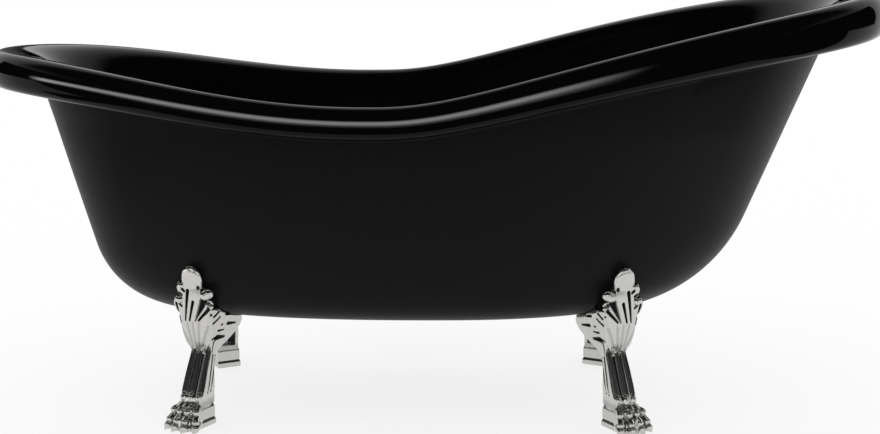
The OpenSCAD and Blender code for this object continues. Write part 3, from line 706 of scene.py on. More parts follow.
@dataclass
class Shells:
    """The one-piece acrylic bath and the skin that hides its back."""

    form: BathForm
    quarter: int = 64
    waste_x: float = -300
    waste_hole: float = 21
    access_hole: float = 50
    overflow_rise: float = 300
    overflow_hole: float = 15
    flange: float = 6.5
    tuck: float = 1
    cut: float = 40
    middle_shares: tuple[float, float, int] = (0.08, 0.92, 8)

    def inner(self) -> bpy.types.Object:
        """Make the basin and its rolled rim, one sheet with a back and a face: rings up the back, round the
        hook of the lip and down the face.

        Returns:
            The dressed piece.
        """
        form, way = self.form, self.form.columns(self.quarter)
        back = form.basin.grown(form.inner_t)
        shares, up = np.linspace(*self.middle_shares), np.linspace(0, 1, 49)
        hook = np.linspace(0, form.lip_end, 34)
        rings = np.concatenate([
            form.floor_rings(back, way, shares), form.skin_rings(back, way, up[::2]),
            form.roll_rings(back, way, np.linspace(0.15, 0.85, 6), form.inner_t),
            form.lip_rings(way, hook[::2], form.inner_t), form.lip_rings(way, hook[::-1], 0),
            form.roll_rings(form.basin, way, np.linspace(0.95, 0.05, 19), 0),
            form.skin_rings(form.basin, way, up)[::-1], form.floor_rings(form.basin, way, shares)[::-1]])
        piece = closed_loft("inner_shell_sheet", rings, GLOSS_ACRYLIC.build())
        waste = Matrix.Translation((self.waste_x * MM, 0, form.floor * MM))
        drill(piece, [cylinder_cutter(self.waste_hole, self.cut, waste),
                      cylinder_cutter(self.overflow_hole, self.cut, self.overflow_axes())])
        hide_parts("inner_shell")
        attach(piece, "bath")
        return piece

    def outer(self) -> bpy.types.Object:
        """Make the outer skin with its flange under the rim and the access hole under the waste.

        Returns:
            The dressed piece.
        """
        form, way = self.form, self.form.columns(self.quarter)
        face, inside = form.outer, form.outer.grown(-form.outer_t)
        shares = np.linspace(*self.middle_shares)
        edge = form.crest_at(way)
        lip = form.lip_of(edge[:, 2])
        edge = edge + form.crest_out(way) * self.flange
        edge[:, 2] -= lip - self.tuck
        thick = [0, 0, form.outer_t]
        inner_top = form.skin_rings(inside, way, np.ones(1)) + [0, 0, self.tuck + form.outer_t]
        rings = np.concatenate([
            form.floor_rings(face, way, shares), form.skin_rings(face, way, np.linspace(0, 1, 65)),
            edge[None], edge[None] + thick, inner_top,
            form.skin_rings(inside, way, np.linspace(0.97, 0, 33)),
            form.floor_rings(inside, way, shares)[::-1]])
        piece = closed_loft("outer_shell_skin", rings, SATIN_ACRYLIC.build())
        access = Matrix.Translation((self.waste_x * MM, 0, form.underside * MM))
        drill(piece, [cylinder_cutter(self.access_hole, self.cut * 0.75, access)])
        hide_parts("outer_shell")
        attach(piece, "bath")
        return piece

    def overflow_axes(self) -> Matrix:
        """Axes of the overflow in the basin's wall.

        Returns:
            Its matrix in metres: z out of the wall into the basin, x down the wall.
        """
        basin = self.form.basin
        z = basin.base + self.overflow_rise
        x = -float(basin.foot.at(basin.base, np.array(z)))
        turn = Matrix.Rotation(math.radians(90 - basin.foot.lean), 4, "Y")
        return Matrix.Translation((x * MM, 0, z * MM)) @ turn


# ---------------------------------------------------------------- sculpted forms


def smooth_max(a: Array, b: Array, soft: float) -> Array:
    """The larger of two fields, with the edge between them rounded over a distance."""
    return np.maximum(a, b) + np.maximum(soft - np.abs(a - b), 0) ** 2 / (4 * soft)


def smooth_min(a: Array, b: Array, soft: float) -> Array:
    """The smaller of two fields, with the corner between them filled over a distance."""
    return -smooth_max(-a, -b, soft)


def along(z: Array, points: Profile, soft: float = 8.0) -> Array:
    """A line through points of height and value, averaged over a window so that its corners are round."""
    heights, values = np.array(points, float).T
    return sum(np.interp(z + d, heights, values) for d in np.linspace(-soft, soft, 5)) / 5


def fade(z: Array, start: float, end: float) -> Array:
    """A share that goes from 0 at one height to 1 at another."""
    return np.clip((z - start) / (end - start), 0, 1)


@dataclass(frozen=True)
class Stroke:
    """A tapering stroke on a surface or in space, from one place to another, with a radius at each end."""

    start: tuple[float, ...]
    end: tuple[float, ...]
    wide: float
    narrow: float

    def distance(self, *place: Array) -> Array:
        """How far a place lies outside the stroke: distance to its line less the radius there.

        Args:
            *place: The place's coordinates, as many as the stroke's own.

        Returns:
            The distance, negative inside.
        """
        way = [b - a for a, b in zip(self.start, self.end)]
        size = max(sum(w * w for w in way), 1e-9)
        t = np.clip(sum((p - a) * w for p, a, w in zip(place, self.start, way)) / size, 0, 1)
        off = sum((p - a - t * w) ** 2 for p, a, w in zip(place, self.start, way))
        return np.sqrt(off) - self.wide - (self.narrow - self.wide) * t

    def dent(self, depth: float, *place: Array) -> Array:
        """Depth of a scoop along the stroke: a parabola across it, deepest on its line."""
        share = np.clip(-self.distance(*place) / max(self.wide, self.narrow), 0, 1)
        return depth * share * (2 - share)


def strokes(*rows: Sequence[float]) -> tuple[Stroke, ...]:
    """Strokes from rows that hold the start, the end and the radius at each."""
    return tuple(Stroke(row[:len(row) // 2 - 1], row[len(row) // 2 - 1:-2], *row[-2:]) for row in rows)


def scooped(face: Array, depth: float, marks: Iterable[Stroke], *place: Array) -> Array:
    """A face set back by a scoop along each mark."""
    for mark in marks:
        face = face + mark.dent(depth, *place)
    return face


def joined(form: Array, soft: float, parts: Iterable[Stroke], *place: Array) -> Array:
    """A form with each stroke's own body added to it, and the corners between them filled."""
    for part in parts:
        form = smooth_min(form, part.distance(*place), soft)
    return form


class Sculpt:
    """A form given by a field, negative inside, that is meshed on a grid and then drawn onto the field."""

    def field(self, x: Array, y: Array, z: Array) -> Array:
        """The form's field in millimetres at places that broadcast together."""
        raise NotImplementedError

    def slope(self, p: Array, value: Array, by: float = 0.05) -> Array:
        """The field's slope at points, from a small step along each axis."""
        steps = np.eye(3) * by
        return np.stack([(self.field(*(p + s).T) - value) / by for s in steps], -1)

    def mesh(self, low: Sequence[float], high: Sequence[float], step: float) -> tuple[Array, Array]:
        """Mesh the form by surface nets: a point in each cell that the surface crosses, a quad for each
        grid edge that it crosses, and two steps that draw the points onto the field, each along its slope
        by the value over the slope and by half a cell at most.

        Args:
            low: Lowest corner of the grid.
            high: Highest corner of the grid.
            step: Size of a cell.

        Returns:
            Points in millimetres and quads, with their faces outward.
        """
        axes = [np.arange(a, b, step) for a, b in zip(low, high)]
        grid = self.field(axes[0][:, None, None], axes[1][None, :, None], axes[2][None, None, :])
        inside = grid < 0
        size = np.array(grid.shape) - 1
        corners = np.array([(i, j, k) for i in (0, 1) for j in (0, 1) for k in (0, 1)])
        count = sum(inside[i:i + size[0], j:j + size[1], k:k + size[2]].astype(np.int8)
                    for i, j, k in corners)
        crossed = (count > 0) & (count < 8)
        number = np.full(crossed.shape, -1)
        number[crossed] = np.arange(crossed.sum())
        cells = np.argwhere(crossed)
        at = cells[:, None, :] + corners[None]
        values = grid[at[..., 0], at[..., 1], at[..., 2]]
        total, hits = np.zeros((len(cells), 3)), np.zeros((len(cells), 1))
        edges = [(a, b) for a in range(8) for b in range(a + 1, 8)
                 if np.abs(corners[a] - corners[b]).sum() == 1]
        for a, b in edges:
            va, vb = values[:, a], values[:, b]
            hit = (va < 0) != (vb < 0)
            t = np.where(hit, va / np.where(hit, va - vb, 1), 0)[:, None]
            total += hit[:, None] * (corners[a] + t * (corners[b] - corners[a]))
            hits += hit[:, None]
        points = np.array(low, float) + (cells + total / hits) * step
        faces = []
        for axis in range(3):
            ahead = np.moveaxis(inside, axis, 0)
            change = ahead[1:, 1:-1, 1:-1] != ahead[:-1, 1:-1, 1:-1]
            i, j, k = np.nonzero(change)
            numbers = np.moveaxis(number, axis, 0)
            quads = np.stack([numbers[i, j, k], numbers[i, j + 1, k], numbers[i, j + 1, k + 1],
                              numbers[i, j, k + 1]], -1)
            turned = ahead[i, j + 1, k + 1] == (axis == 1)
            faces.append(np.where(turned[:, None], quads[:, ::-1], quads))
        for _ in range(2):
            value = self.field(*points.T)
            slope = self.slope(points, value)
            move = -(value / np.maximum((slope ** 2).sum(1), 0.1))[:, None] * slope
            length = np.maximum(np.linalg.norm(move, axis=1, keepdims=True), 1e-9)
            points = points + move * np.minimum(1, 0.5 * step / length)
        return points, np.concatenate(faces)


@dataclass
class ClawFoot(Sculpt):
    """A hollow casting: a paw of four toes, a fluted leg, an acanthus leaf and a wing at each side.

    Its own axes are x across it, y inwards under the bath and z up, with the origin under the leaf's tip.
    Profiles are points of height and value. The strokes of flutes, leaf, grooves, veins and pits lie in x and
    z, those of the sides in y and z, and balls and beads in all three.
    """

    form: BathForm
    hand: Hand
    row: Row
    place: tuple[float, float]
    turn: float = 18
    paw_turn: float = 11
    low: tuple[float, float, float] = (-62, -54, -1.5)
    high: tuple[float, float, float] = (62, 112, 310)
    paw_h: float = 50
    sole: float = 1.5
    cast_t: float = 6.5
    leaf_t: float = 9
    heel: float = 41
    screw_z: float = 168
    boss_r: float = 9
    boss_back: float = 61.7
    bore_r: float = 4.05
    pad_r: float = 18
    pad_top: float = 9.3
    leveller_y: float = 18
    leveller_r: float = 5.05
    seat: float = 0.4
    leaf_from: float = 222
    flute_depth: float = 5.0
    groove_depth: float = 5.5
    pit_depth: float = 4.5
    vein_depth: float = 1.4
    # Step off the face at which the toes' painted shade is measured
    cavity: float = 3.0
    # The leg's face, its crown at the edges and half the width over which it is crowned
    face: Profile = ((40, -14), (62, -9), (140, 37), (152, 34), (190, 17), (222, 9), (247, 5), (270, 4),
                     (306, 3))
    face_crown: Profile = ((50, 6), (110, 3), (140, 6), (170, 15), (200, 17), (230, 11), (262, 9), (306, 4))
    face_half: Profile = ((50, 22), (110, 21), (140, 22), (170, 32), (200, 40), (250, 40), (306, 24))
    leaf_face: Profile = ((131, 37), (145, 27), (156, 19), (170, 13), (190, 10), (222, 6), (250, 3), (306, 1))
    leaf_crown: Profile = ((131, 4), (150, 12), (170, 14), (200, 13), (230, 11), (262, 8), (306, 4))
    leaf_half: float = 38
    # Half the width at the front's edge and at the back, where the first begins, and how far back it goes
    half: Profile = ((50, 22), (77, 23), (143, 20), (175, 23), (197, 27), (215, 30), (237, 30), (260, 20))
    back_half: Profile = ((50, 22), (135, 22), (157, 38), (175, 51), (190, 57), (199, 56), (215, 48),
                          (247, 22))
    side_from: Profile = ((40, -9), (60, -3), (77, 4), (100, 18), (125, 33), (143, 41), (160, 38), (197, 33),
                          (222, 22), (247, 14))
    back: Profile = ((40, 45), (100, 48), (118, 54), (133, 64), (144, 80), (152, 92), (166, 100), (185, 104),
                     (197, 102))
    plinth: Profile = ((1.5, 23.5), (4, 25), (11, 25), (17, 22.5), (19, 23.5), (35, 23.5), (46, 20.5))
    flutes: tuple[Stroke, ...] = strokes(
        (-15.5, 70, -13.5, 146, 6.2, 5.2), (-0.5, 70, -0.5, 140, 6.0, 5.2), (14.5, 70, 14, 143, 6.0, 5.0))
    leaf: tuple[Stroke, ...] = strokes(
        (1, 258, 1, 279, 22, 19.5), (0, 279, 0, 289, 19, 14), (0, 200, 0, 265, 24, 17),
        (11, 236, 27, 254, 12, 11), (-11, 240, -24, 262, 12, 8), (14, 212, 28, 236, 13, 9),
        (-14, 208, -33, 230, 13, 11), (-1, 205, -1, 164, 32, 23), (-11, 160, -15, 144, 11, 2.5),
        (8, 160, 8, 131, 13, 2.5), (-3, 156, -4, 146, 9, 6))
    grooves: tuple[Stroke, ...] = strokes(
        (-6.9, 259, -16, 202, 3.8, 2.0), (2.5, 238, -7, 202, 3.2, 2.0), (22, 240, 5, 203, 7.5, 2.0),
        (34, 229, 11, 203, 3.4, 2.0), (-36, 231, -28, 196, 3.5, 2.0), (-43, 213, -31, 186, 3.0, 1.8))
    veins: tuple[Stroke, ...] = strokes(
        (-9, 148, -27, 188, 3.6, 2.8), (-4, 143, -13, 196, 3.6, 2.8), (1, 143, -1, 198, 3.6, 2.6),
        (6, 145, 11, 196, 3.8, 2.8), (12, 150, 26, 190, 3.6, 2.6))
    pits: tuple[Stroke, ...] = strokes(
        (14, 265, 14, 267, 3.4, 3.4), (20, 261, 24, 262, 2.4, 2.2), (-14, 258, -19, 262, 2.4, 2.4),
        (-20, 250, -26, 254, 2.4, 2), (32, 243, 38, 243, 2.2, 2.0), (-22, 228, -30, 234, 2.4, 2.0))
    side_dents: tuple[Stroke, ...] = strokes(
        (54, 162, 74, 160, 5.5, 2.5), (53, 175, 66, 175, 2.4, 1.6), (58, 186, 60, 186, 2.2, 2.0),
        (72, 186, 90, 184, 3.6, 2.0), (66, 205, 76, 204, 2.4, 2.0), (40, 160, 52, 163, 2.0, 3.2),
        (36, 205, 48, 214, 2.6, 2.0), (38, 192, 52, 203, 2.6, 1.6), (57, 163, 48, 156, 2.4, 2.2),
        (48, 156, 44.5, 136, 2.2, 1.6))
    side_lines: tuple[Stroke, ...] = strokes((17, 66, 47, 132, 3.0, 2.6), (29, 66, 56, 128, 2.8, 2.4))
    balls: tuple[Stroke, ...] = strokes(
        (28, 6, 253, 34, 6, 257, 11, 10.5), (-20, 6, 268, -23, 8, 271, 6, 5),
        (-25, 9, 241, -29, 11, 242, 8, 7), (31, 8, 233, 37, 8, 231, 5.5, 5))
    beads: tuple[Stroke, ...] = strokes(
        (-16, -4, 61, -16, -5, 58, 6, 6), (-0.5, -5, 61, -0.5, -6, 58, 5.5, 5.5),
        (14, -4, 61, 14, -5, 58, 6, 6))
    instep: tuple[Stroke, ...] = strokes(
        (-12, 4, 46, -12, -14, 39, 11, 10), (0, 4, 46, 0, -14, 39, 11, 10), (12, 4, 46, 12, -14, 39, 11, 10))
    toe_places: tuple[float, ...] = (-27, -9, 9, 27)
    toe_spread: float = 62
    # The domed tip of the leaf: its middle, its half sizes and its lean
    dome: tuple[float, float, float] = (2, 5, 281)
    dome_r: tuple[float, float, float] = (20, 8, 26)
    dome_lean: float = 0.3

    def front_y(self, x: Array, z: Array) -> Array:
        """The leg's face: a line up the foot, crowned by the square of the way to its edge."""
        share = np.minimum(1, np.abs(x / along(z, self.face_half))) ** 2
        return along(z, self.face, 4) + along(z, self.face_crown) * share

    def leaf_y(self, x: Array, z: Array) -> Array:
        """The leaf's face, which stands proud of the leg and bulges out over its base."""
        return along(z, self.leaf_face, 5) + along(z, self.leaf_crown) * (x / self.leaf_half) ** 2

    def side_x(self, y: Array, z: Array) -> Array:
        """Half the width of leg and wings: straight from the front's edge to the back's, with dents.

        Args:
            y: Depths.
            z: Heights.

        Returns:
            Half the width.
        """
        half = along(z, self.half, 5)
        back = np.maximum(half + 1, along(z, self.back_half, 5))
        start = along(z, self.side_from)
        share = np.clip((y - start) / (along(z, self.back, 4) - start), -0.2, 1.1)
        width = half + (back - half) * share
        for mark in (*self.side_dents, *self.side_lines):
            width = width - mark.dent(0.8 * mark.wide, y, z)
        return width

    def toe(self, at: float) -> tuple[Stroke, ...]:
        """Parts of one toe, which reach less far the further out it lies, by the square of its place.

        Args:
            at: The toe's place across the paw.

        Returns:
            Its knuckle, joint, ball and claw, and the two tufts over it.
        """
        far = 1 - (at / self.toe_spread) ** 2
        return strokes(
            (at * 0.6, -2 * far, 43, at * 0.9, -23 * far, 37, 6.5, 7.2),
            (at * 0.92, -24 * far, 31, at * 1.05, -33 * far, 21, 4.5, 7.5),
            (at, -24 * far, 14, at * 1.12, -38 * far, 10, 8.5, 8.0),
            (at * 1.14, -43 * far, 12.5, at * 1.17, -47.5 * far, 3.5, 4.0, 1.6),
            *((at * 0.85 + side, -20 * far, 33, at * 1.02 + side, -35 * far, 24, 2.4, 1.4)
              for side in (-5, 5)))

    def paw(self, x: Array, y: Array, z: Array) -> Array:
        """The paw: a plinth with ledges, an instep, a row of knuckles and four toes with their claws, all
        turned further out about the levelling screw than the leg is.

        Args:
            x: Places across the foot.
            y: Depths.
            z: Heights.

        Returns:
            The paw's field, negative inside.
        """
        turn = math.radians(self.paw_turn)
        ahead = y - self.leveller_y
        x, y = (x * math.cos(turn) - ahead * math.sin(turn),
                self.leveller_y + x * math.sin(turn) + ahead * math.cos(turn))
        half = along(z, self.plinth, 0.6)
        block = smooth_max(np.abs(x) - half, smooth_max(y - self.heel - half + 23, -12 - y, 2), 1.5)
        block = smooth_max(block, z - self.paw_h, 1)
        ball = smooth_max(Stroke((0, 2, 30), (0, -12, 14), 23, 26).distance(x, y, z), z - self.paw_h, 4)
        form = joined(smooth_min(block, ball, 2), 3, self.instep, x, y, z)
        for at in self.toe_places:
            form = joined(form, 0.8, self.toe(at), x, y, z)
        return smooth_max(form, self.sole - z, 1)

    def tip(self, x: Array, y: Array, z: Array) -> Array:
        """The domed tip of the leaf: an ellipsoid's level less 1, over its slope.

        Args:
            x: Places across the foot.
            y: Depths.
            z: Heights.

        Returns:
            The dome's field, negative inside.
        """
        leaning = y + self.dome_lean * (z - self.dome[2])
        off = [(p - c) / r for p, c, r in zip((x, leaning, z), self.dome, self.dome_r)]
        level = np.sqrt(off[0] ** 2 + off[1] ** 2 + off[2] ** 2)
        steep = np.sqrt(sum((o / r) ** 2 for o, r in zip(off, self.dome_r)))
        return level * (level - 1) / np.maximum(steep, 1e-4)

    def field(self, x: Array, y: Array, z: Array) -> Array:
        """The casting: leg, wings, leaf and paw, less its hollow, its holes and all that the bath takes.

        Args:
            x: Places across the foot.
            y: Depths.
            z: Heights.

        Returns:
            The casting's field, negative inside.
        """
        face, side, leaf = self.front_y(x, z), self.side_x(y, z), self.leaf_y(x, z)
        fluted = scooped(face, self.flute_depth, self.flutes, x, z)
        carved = scooped(leaf, self.groove_depth, self.grooves, x, z)
        carved = scooped(carved, self.pit_depth, self.pits, x, z)
        carved = scooped(carved, self.vein_depth, self.veins, x, z)
        core = smooth_max(smooth_max(fluted - y, np.abs(x) - side, 3), y - along(z, self.back, 4), 2)
        core = smooth_max(core, z - self.leaf_from, 3)
        outline = joined(self.leaf[0].distance(x, z), 2.5, self.leaf[1:], x, z)
        sheet = smooth_max(smooth_max(carved - y, outline, 4), y - np.maximum(face, leaf) - self.leaf_t, 2)
        form = smooth_min(smooth_max(core, self.paw_h - 10 - z, 2), sheet, 0.8)
        form = joined(smooth_min(form, self.tip(x, y, z), 2), 1.2, self.balls, x, y, z)
        hollow = smooth_max(face + self.cast_t - y, np.abs(x) - side + self.cast_t, 4)
        form = smooth_max(form, -smooth_max(hollow, self.paw_h - z, 2), 1)
        form = joined(smooth_min(form, self.paw(x, y, z), 2), 0.8, self.beads, x, y, z)
        boss = smooth_max(np.hypot(x, z - self.screw_z) - self.boss_r,
                          smooth_max(y - self.boss_back, face + 3 - y, 1), 1)
        form = smooth_min(form, boss, 2)
        bore = np.maximum(np.hypot(x, z - self.screw_z) - self.bore_r, face + 13 - y)
        screw = np.maximum(np.hypot(x, y - self.leveller_y) - self.leveller_r, z - self.paw_h - 30)
        recess = np.maximum(np.hypot(x, y - self.leveller_y) - self.pad_r, z - self.pad_top)
        for hole in (bore, screw, recess):
            form = np.maximum(form, -hole)
        return np.maximum(form, self.seat - self.form.outside(*self.world(x, y), z))

    def world(self, x: Array, y: Array) -> tuple[Array, Array]:
        """Turn places in the foot's axes into the bath's, as they are for the front row.

        Args:
            x: Places across the foot, which are mirrored at the right.
            y: Depths.

        Returns:
            Places along and across the bath.
        """
        turn = math.radians(self.hand.value * self.turn)
        x = -self.hand.value * x
        return (self.place[0] + x * math.cos(turn) - y * math.sin(turn),
                self.place[1] + x * math.sin(turn) + y * math.cos(turn))

    def recess(self, points: Array) -> Array:
        """Share of painted shade at each point, from 0 on the open faces to 1 deep in a carved hollow.

        It is the marks' own depth, or on the toes how much nearer the form is at a step off the face than it
        would be in the open, which paints shade where the form closes in. Instep, toes, veins and flutes have
        a smaller share of painted shade of their own.

        Args:
            points: Points of the mesh in the foot's axes.

        Returns:
            The share of painted shade at each point.
        """
        x, y, z = points.T
        slope = self.slope(points, self.field(x, y, z))
        off = points + slope / np.maximum(np.linalg.norm(slope, axis=1, keepdims=True), 0.1) * self.cavity
        # Painted shade on the toes: how much nearer the form lies a step off the face than in the open
        cavity_shade = np.clip(1 - self.field(*off.T) / self.cavity - 0.12, 0, 1) * fade(z, 46, 40)
        on_leaf, on_leg, on_side = y < self.leaf_y(x, z) + 8, y < self.front_y(x, z) + 7, np.abs(x) > 18
        marks = [mark.dent(1, x, z) * on_leaf for mark in (*self.grooves, *self.pits)]
        marks += [mark.dent(1, y, z) * on_side for mark in self.side_dents]
        # Painted shade: a band over the instep, a little on the toes, and more in the veins and flutes
        paw = 0.3 * fade(z, 56, 48) * fade(z, 38, 44) + 0.06 * fade(z, 44, 38)
        vein = 0.3 * np.max([mark.dent(1, x, z) * on_leaf for mark in self.veins], 0)
        flute = 0.75 * np.max([mark.dent(1, x, z) * on_leg for mark in self.flutes], 0)
        flute = flute * fade(z, 150, 140) * fade(z, 66, 72)
        return np.clip(np.maximum(np.max(marks, 0) * 1.6, paw + vein + flute + cavity_shade * 1.1), 0, 1)

    def build(self, material: bpy.types.Material, step: float) -> bpy.types.Object:
        """Mesh the casting and set it at its end and side of the bath.

        Args:
            material: What the casting is dressed with.
            step: Size of the mesh's cells.

        Returns:
            The dressed piece.
        """
        points, faces = self.mesh(self.low, self.high, step)
        share = self.recess(points)
        points[:, 0], points[:, 1] = self.world(points[:, 0], points[:, 1])
        if self.row is Row.BACK:
            points[:, 1] *= -1
        if (self.hand is Hand.RIGHT) != (self.row is Row.BACK):
            faces = faces[:, ::-1]
        name = f"foot_{self.row.name}_{self.hand.name}".lower()
        piece = make_piece(f"{name}_casting", points, [faces], material)
        # The UV map named recess holds the share of painted shade, which the carved chrome reads
        layer = piece.data.uv_layers.new(name="recess")
        corners = share[faces.reshape(-1)]
        layer.uv.foreach_set("vector", np.stack([corners, 0 * corners], -1).reshape(-1))
        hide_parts(name)
        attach(piece, "bath")
        return piece


# ---------------------------------------------------------------- studio


@dataclass
class Studio:
    """Camera, pale floor, soft light, a strip light in front, fill cards for the feet and dark flags.

    Attributes:
        eye: Place of the camera.
        pitch: How far it looks down, in degrees.
        focal_px: Its focal length in pixels of the image.
        sensor: Width of its sensor in millimetres.
        strip_level: Strength of the strip light.
        strip_path: Places of x and y that the strip light bends through.
        strip_levels: Its lower and upper edge.
        fill_levels: Lowest and highest strength of the fill cards.
        floor_own: Share of the floor's own white in what the camera and mirrors see of it.
        floor_box: The floor's ends along X and along Y.
        arch: The roof flag's first and last angle in degrees and its number of points.
        arch_r: The arch's half width and its height.
    """

    eye: tuple[float, float, float] = (0.0079, -3.4, 0.9655)
    pitch: float = 10.18
    focal_px: float = 1776.7
    sensor: float = 36
    strip_level: float = 22.0
    strip_path: Profile = ((8.0, -3.15), (-4.5, -3.15), (-6.0, -2.8), (-7.1, -2.0), (-7.7, -1.0),
                           (-7.9, 0.2))
    strip_levels: tuple[float, float] = (0.02, 1.85)
    fill_levels: tuple[float, float] = (0.35, 1.35)
    floor_own: float = 0.8
    floor_box: tuple[float, float, float, float] = (-20, 20, -20, 30)
    arch: tuple[float, float, int] = (12, 118, 28)
    arch_r: tuple[float, float] = (4.6, 4.2)

    def camera(self) -> None:
        """Add the camera, level, looking along +Y and down by the pitch."""
        data = bpy.data.cameras.new("camera")
        data.sensor_width = self.sensor
        data.lens = self.focal_px / IMAGE_WIDTH * data.sensor_width
        data.clip_end = 60
        camera = bpy.data.objects.new("camera", data)
        camera.location = self.eye
        camera.rotation_euler = (math.radians(90 - self.pitch), 0, 0)
        bpy.context.scene.collection.objects.link(camera)
        bpy.context.scene.camera = camera

    @staticmethod
    def world() -> None:
        """Set plain white all round."""
        world = bpy.data.worlds.new("studio")
        world.use_nodes = True
        tree = world.node_tree
        tree.nodes.clear()
        light = add_node(tree, "ShaderNodeBackground", Color=(1, 1, 1, 1), Strength=1.0)
        add_node(tree, "ShaderNodeOutputWorld", Surface=light.outputs[0])
        bpy.context.scene.world = world

    @staticmethod
    def sheet(name: str, grid: Array, material: bpy.types.Material) -> bpy.types.Object:
        """Make a sheet from a grid of points, which is stage and not part of the bath.

        Args:
            name: Its name.
            grid: Points in metres as rows by columns by 3.
            material: What it is dressed with.

        Returns:
            The new object, seen from its front where columns run to the right and rows go up.
        """
        rows, columns = grid.shape[:2]
        here = (np.arange(rows - 1)[:, None] * columns + np.arange(columns - 1)).reshape(-1, 1)
        faces = np.concatenate([here, here + 1, here + 1 + columns, here + columns], 1)
        sheet = make_piece(name, grid.reshape(-1, 3) / MM, [faces], material, smooth=False)
        return sheet

    def card(self, name: str, points: Profile, half: float, material: bpy.types.Material,
             centre: float = 0.0) -> bpy.types.Object:
        """Make a sheet that spans X and bends through points of y and z.

        Args:
            name: Its name.
            points: Points of y and z in metres.
            half: Half its width along X.
            material: What it is dressed with.
            centre: Its middle along X.

        Returns:
            The new object.
        """
        sides = [np.insert(np.array(points, float), 0, centre + x, 1) for x in (-half, half)]
        return self.sheet(name, np.stack(sides, 1), material)

    def upright(self, name: str, path: Profile, levels: tuple[float, float],
                material: bpy.types.Material) -> bpy.types.Object:
        """Make an upright sheet along a path.

        Args:
            name: Its name.
            path: Points of x and y in metres.
            levels: Heights of its lower and upper edge.
            material: What it is dressed with.

        Returns:
            The new object.
        """
        edges = [np.insert(np.array(path, float), 2, z, 1) for z in levels]
        return self.sheet(name, np.stack(edges), material)

    def glow_material(self) -> bpy.types.Material:
        """Make a white glow whose level drifts softly across a card, in patches of a third of a metre.

        Returns:
            The new material.
        """
        material, tree = new_material("white fill card")
        place = add_node(tree, "ShaderNodeTexCoord")
        noise = add_node(tree, "ShaderNodeTexNoise", Vector=place.outputs["Object"], Scale=3.0, Detail=0.0)
        glow = add_node(tree, "ShaderNodeMapRange", Value=noise.outputs[0], From_Min=0.35, From_Max=0.65,
                        To_Min=self.fill_levels[0], To_Max=self.fill_levels[1])
        light = add_node(tree, "ShaderNodeEmission", Color=(1, 1, 1, 1), Strength=glow.outputs[0])
        add_node(tree, "ShaderNodeOutputMaterial", Surface=light.outputs[0])
        return material

    @staticmethod
    def dark_material(name: str, ends: tuple[float, float] | None = None,
                      rear: tuple[float, float] | None = None, one_sided: bool = False
                      ) -> bpy.types.Material:
        """Make a matt black that is clear where its share is 0.

        Args:
            name: The material's name.
            ends: Distances along X in metres between which the card thins out to nothing.
            rear: Places along Y in metres between which it does so too.
            one_sided: Whether only its back is black and its front lets everything through.

        Returns:
            The new material.
        """
        material, tree = new_material(name)
        share = 1.0
        if one_sided:
            share = add_node(tree, "ShaderNodeNewGeometry").outputs["Backfacing"]
        if ends:
            place = add_node(tree, "ShaderNodeTexCoord")
            parts = add_node(tree, "ShaderNodeSeparateXYZ", Vector=place.outputs["Object"])
            away = add_node(tree, "ShaderNodeMath", {"operation": "ABSOLUTE"}, i0=parts.outputs[0])
            share = ramp(tree, away.outputs[0], ends[1], ends[0])
            if rear:
                share = product(tree, share, ramp(tree, parts.outputs[1], rear[1], rear[0]))
        clear = add_node(tree, "ShaderNodeBsdfTransparent")
        dark = add_node(tree, "ShaderNodeBsdfDiffuse", Color=(0, 0, 0, 1))
        both = add_node(tree, "ShaderNodeMixShader", i0=share, i1=clear.outputs[0], i2=dark.outputs[0])
        add_node(tree, "ShaderNodeOutputMaterial", Surface=both.outputs[0])
        return material

    def strip_material(self) -> bpy.types.Material:
        """Make a soft box's glow: brightest along its middle height, and fading out towards both ends.

        Returns:
            The new material.
        """
        material, tree = new_material("strip light")
        place = add_node(tree, "ShaderNodeTexCoord")
        x, y, z = add_node(tree, "ShaderNodeSeparateXYZ", Vector=place.outputs["Object"]).outputs
        ends = product(tree, ramp(tree, x, 1.2, 0.1), ramp(tree, y, -0.4, -1.8))
        share = product(tree, ramp(tree, z, 0.02, 0.75), ramp(tree, z, 1.85, 1.0), ends, self.strip_level)
        light = add_node(tree, "ShaderNodeEmission", Color=(1, 1, 1, 1), Strength=share)
        add_node(tree, "ShaderNodeOutputMaterial", Surface=light.outputs[0])
        return material

    def floor(self) -> None:
        """Add a pale floor: partly its own white to the camera, mirrors and glass, and plain matt white to
        all other rays, so that it keeps a soft shadow."""
        material, tree = new_material("pale studio floor")
        path = add_node(tree, "ShaderNodeLightPath").outputs
        seen = path["Is Camera Ray"]
        for kind in ("Is Glossy Ray", "Is Transmission Ray"):
            seen = add_node(tree, "ShaderNodeMath", {"operation": "MAXIMUM"}, i0=seen,
                            i1=path[kind]).outputs[0]
        glow = add_node(tree, "ShaderNodeEmission", Color=linear("#ffffff"), Strength=1.0)
        matt = add_node(tree, "ShaderNodeBsdfDiffuse", Color=linear("#ffffff"))
        both = add_node(tree, "ShaderNodeMixShader", i0=product(tree, seen, self.floor_own),
                        i1=matt.outputs[0], i2=glow.outputs[0])
        add_node(tree, "ShaderNodeOutputMaterial", Surface=both.outputs[0])
        left, right, front, back = self.floor_box
        edges = np.array([[[left, y, 0], [right, y, 0]] for y in (front, back)], float)
        self.sheet("studio_floor", edges, material)

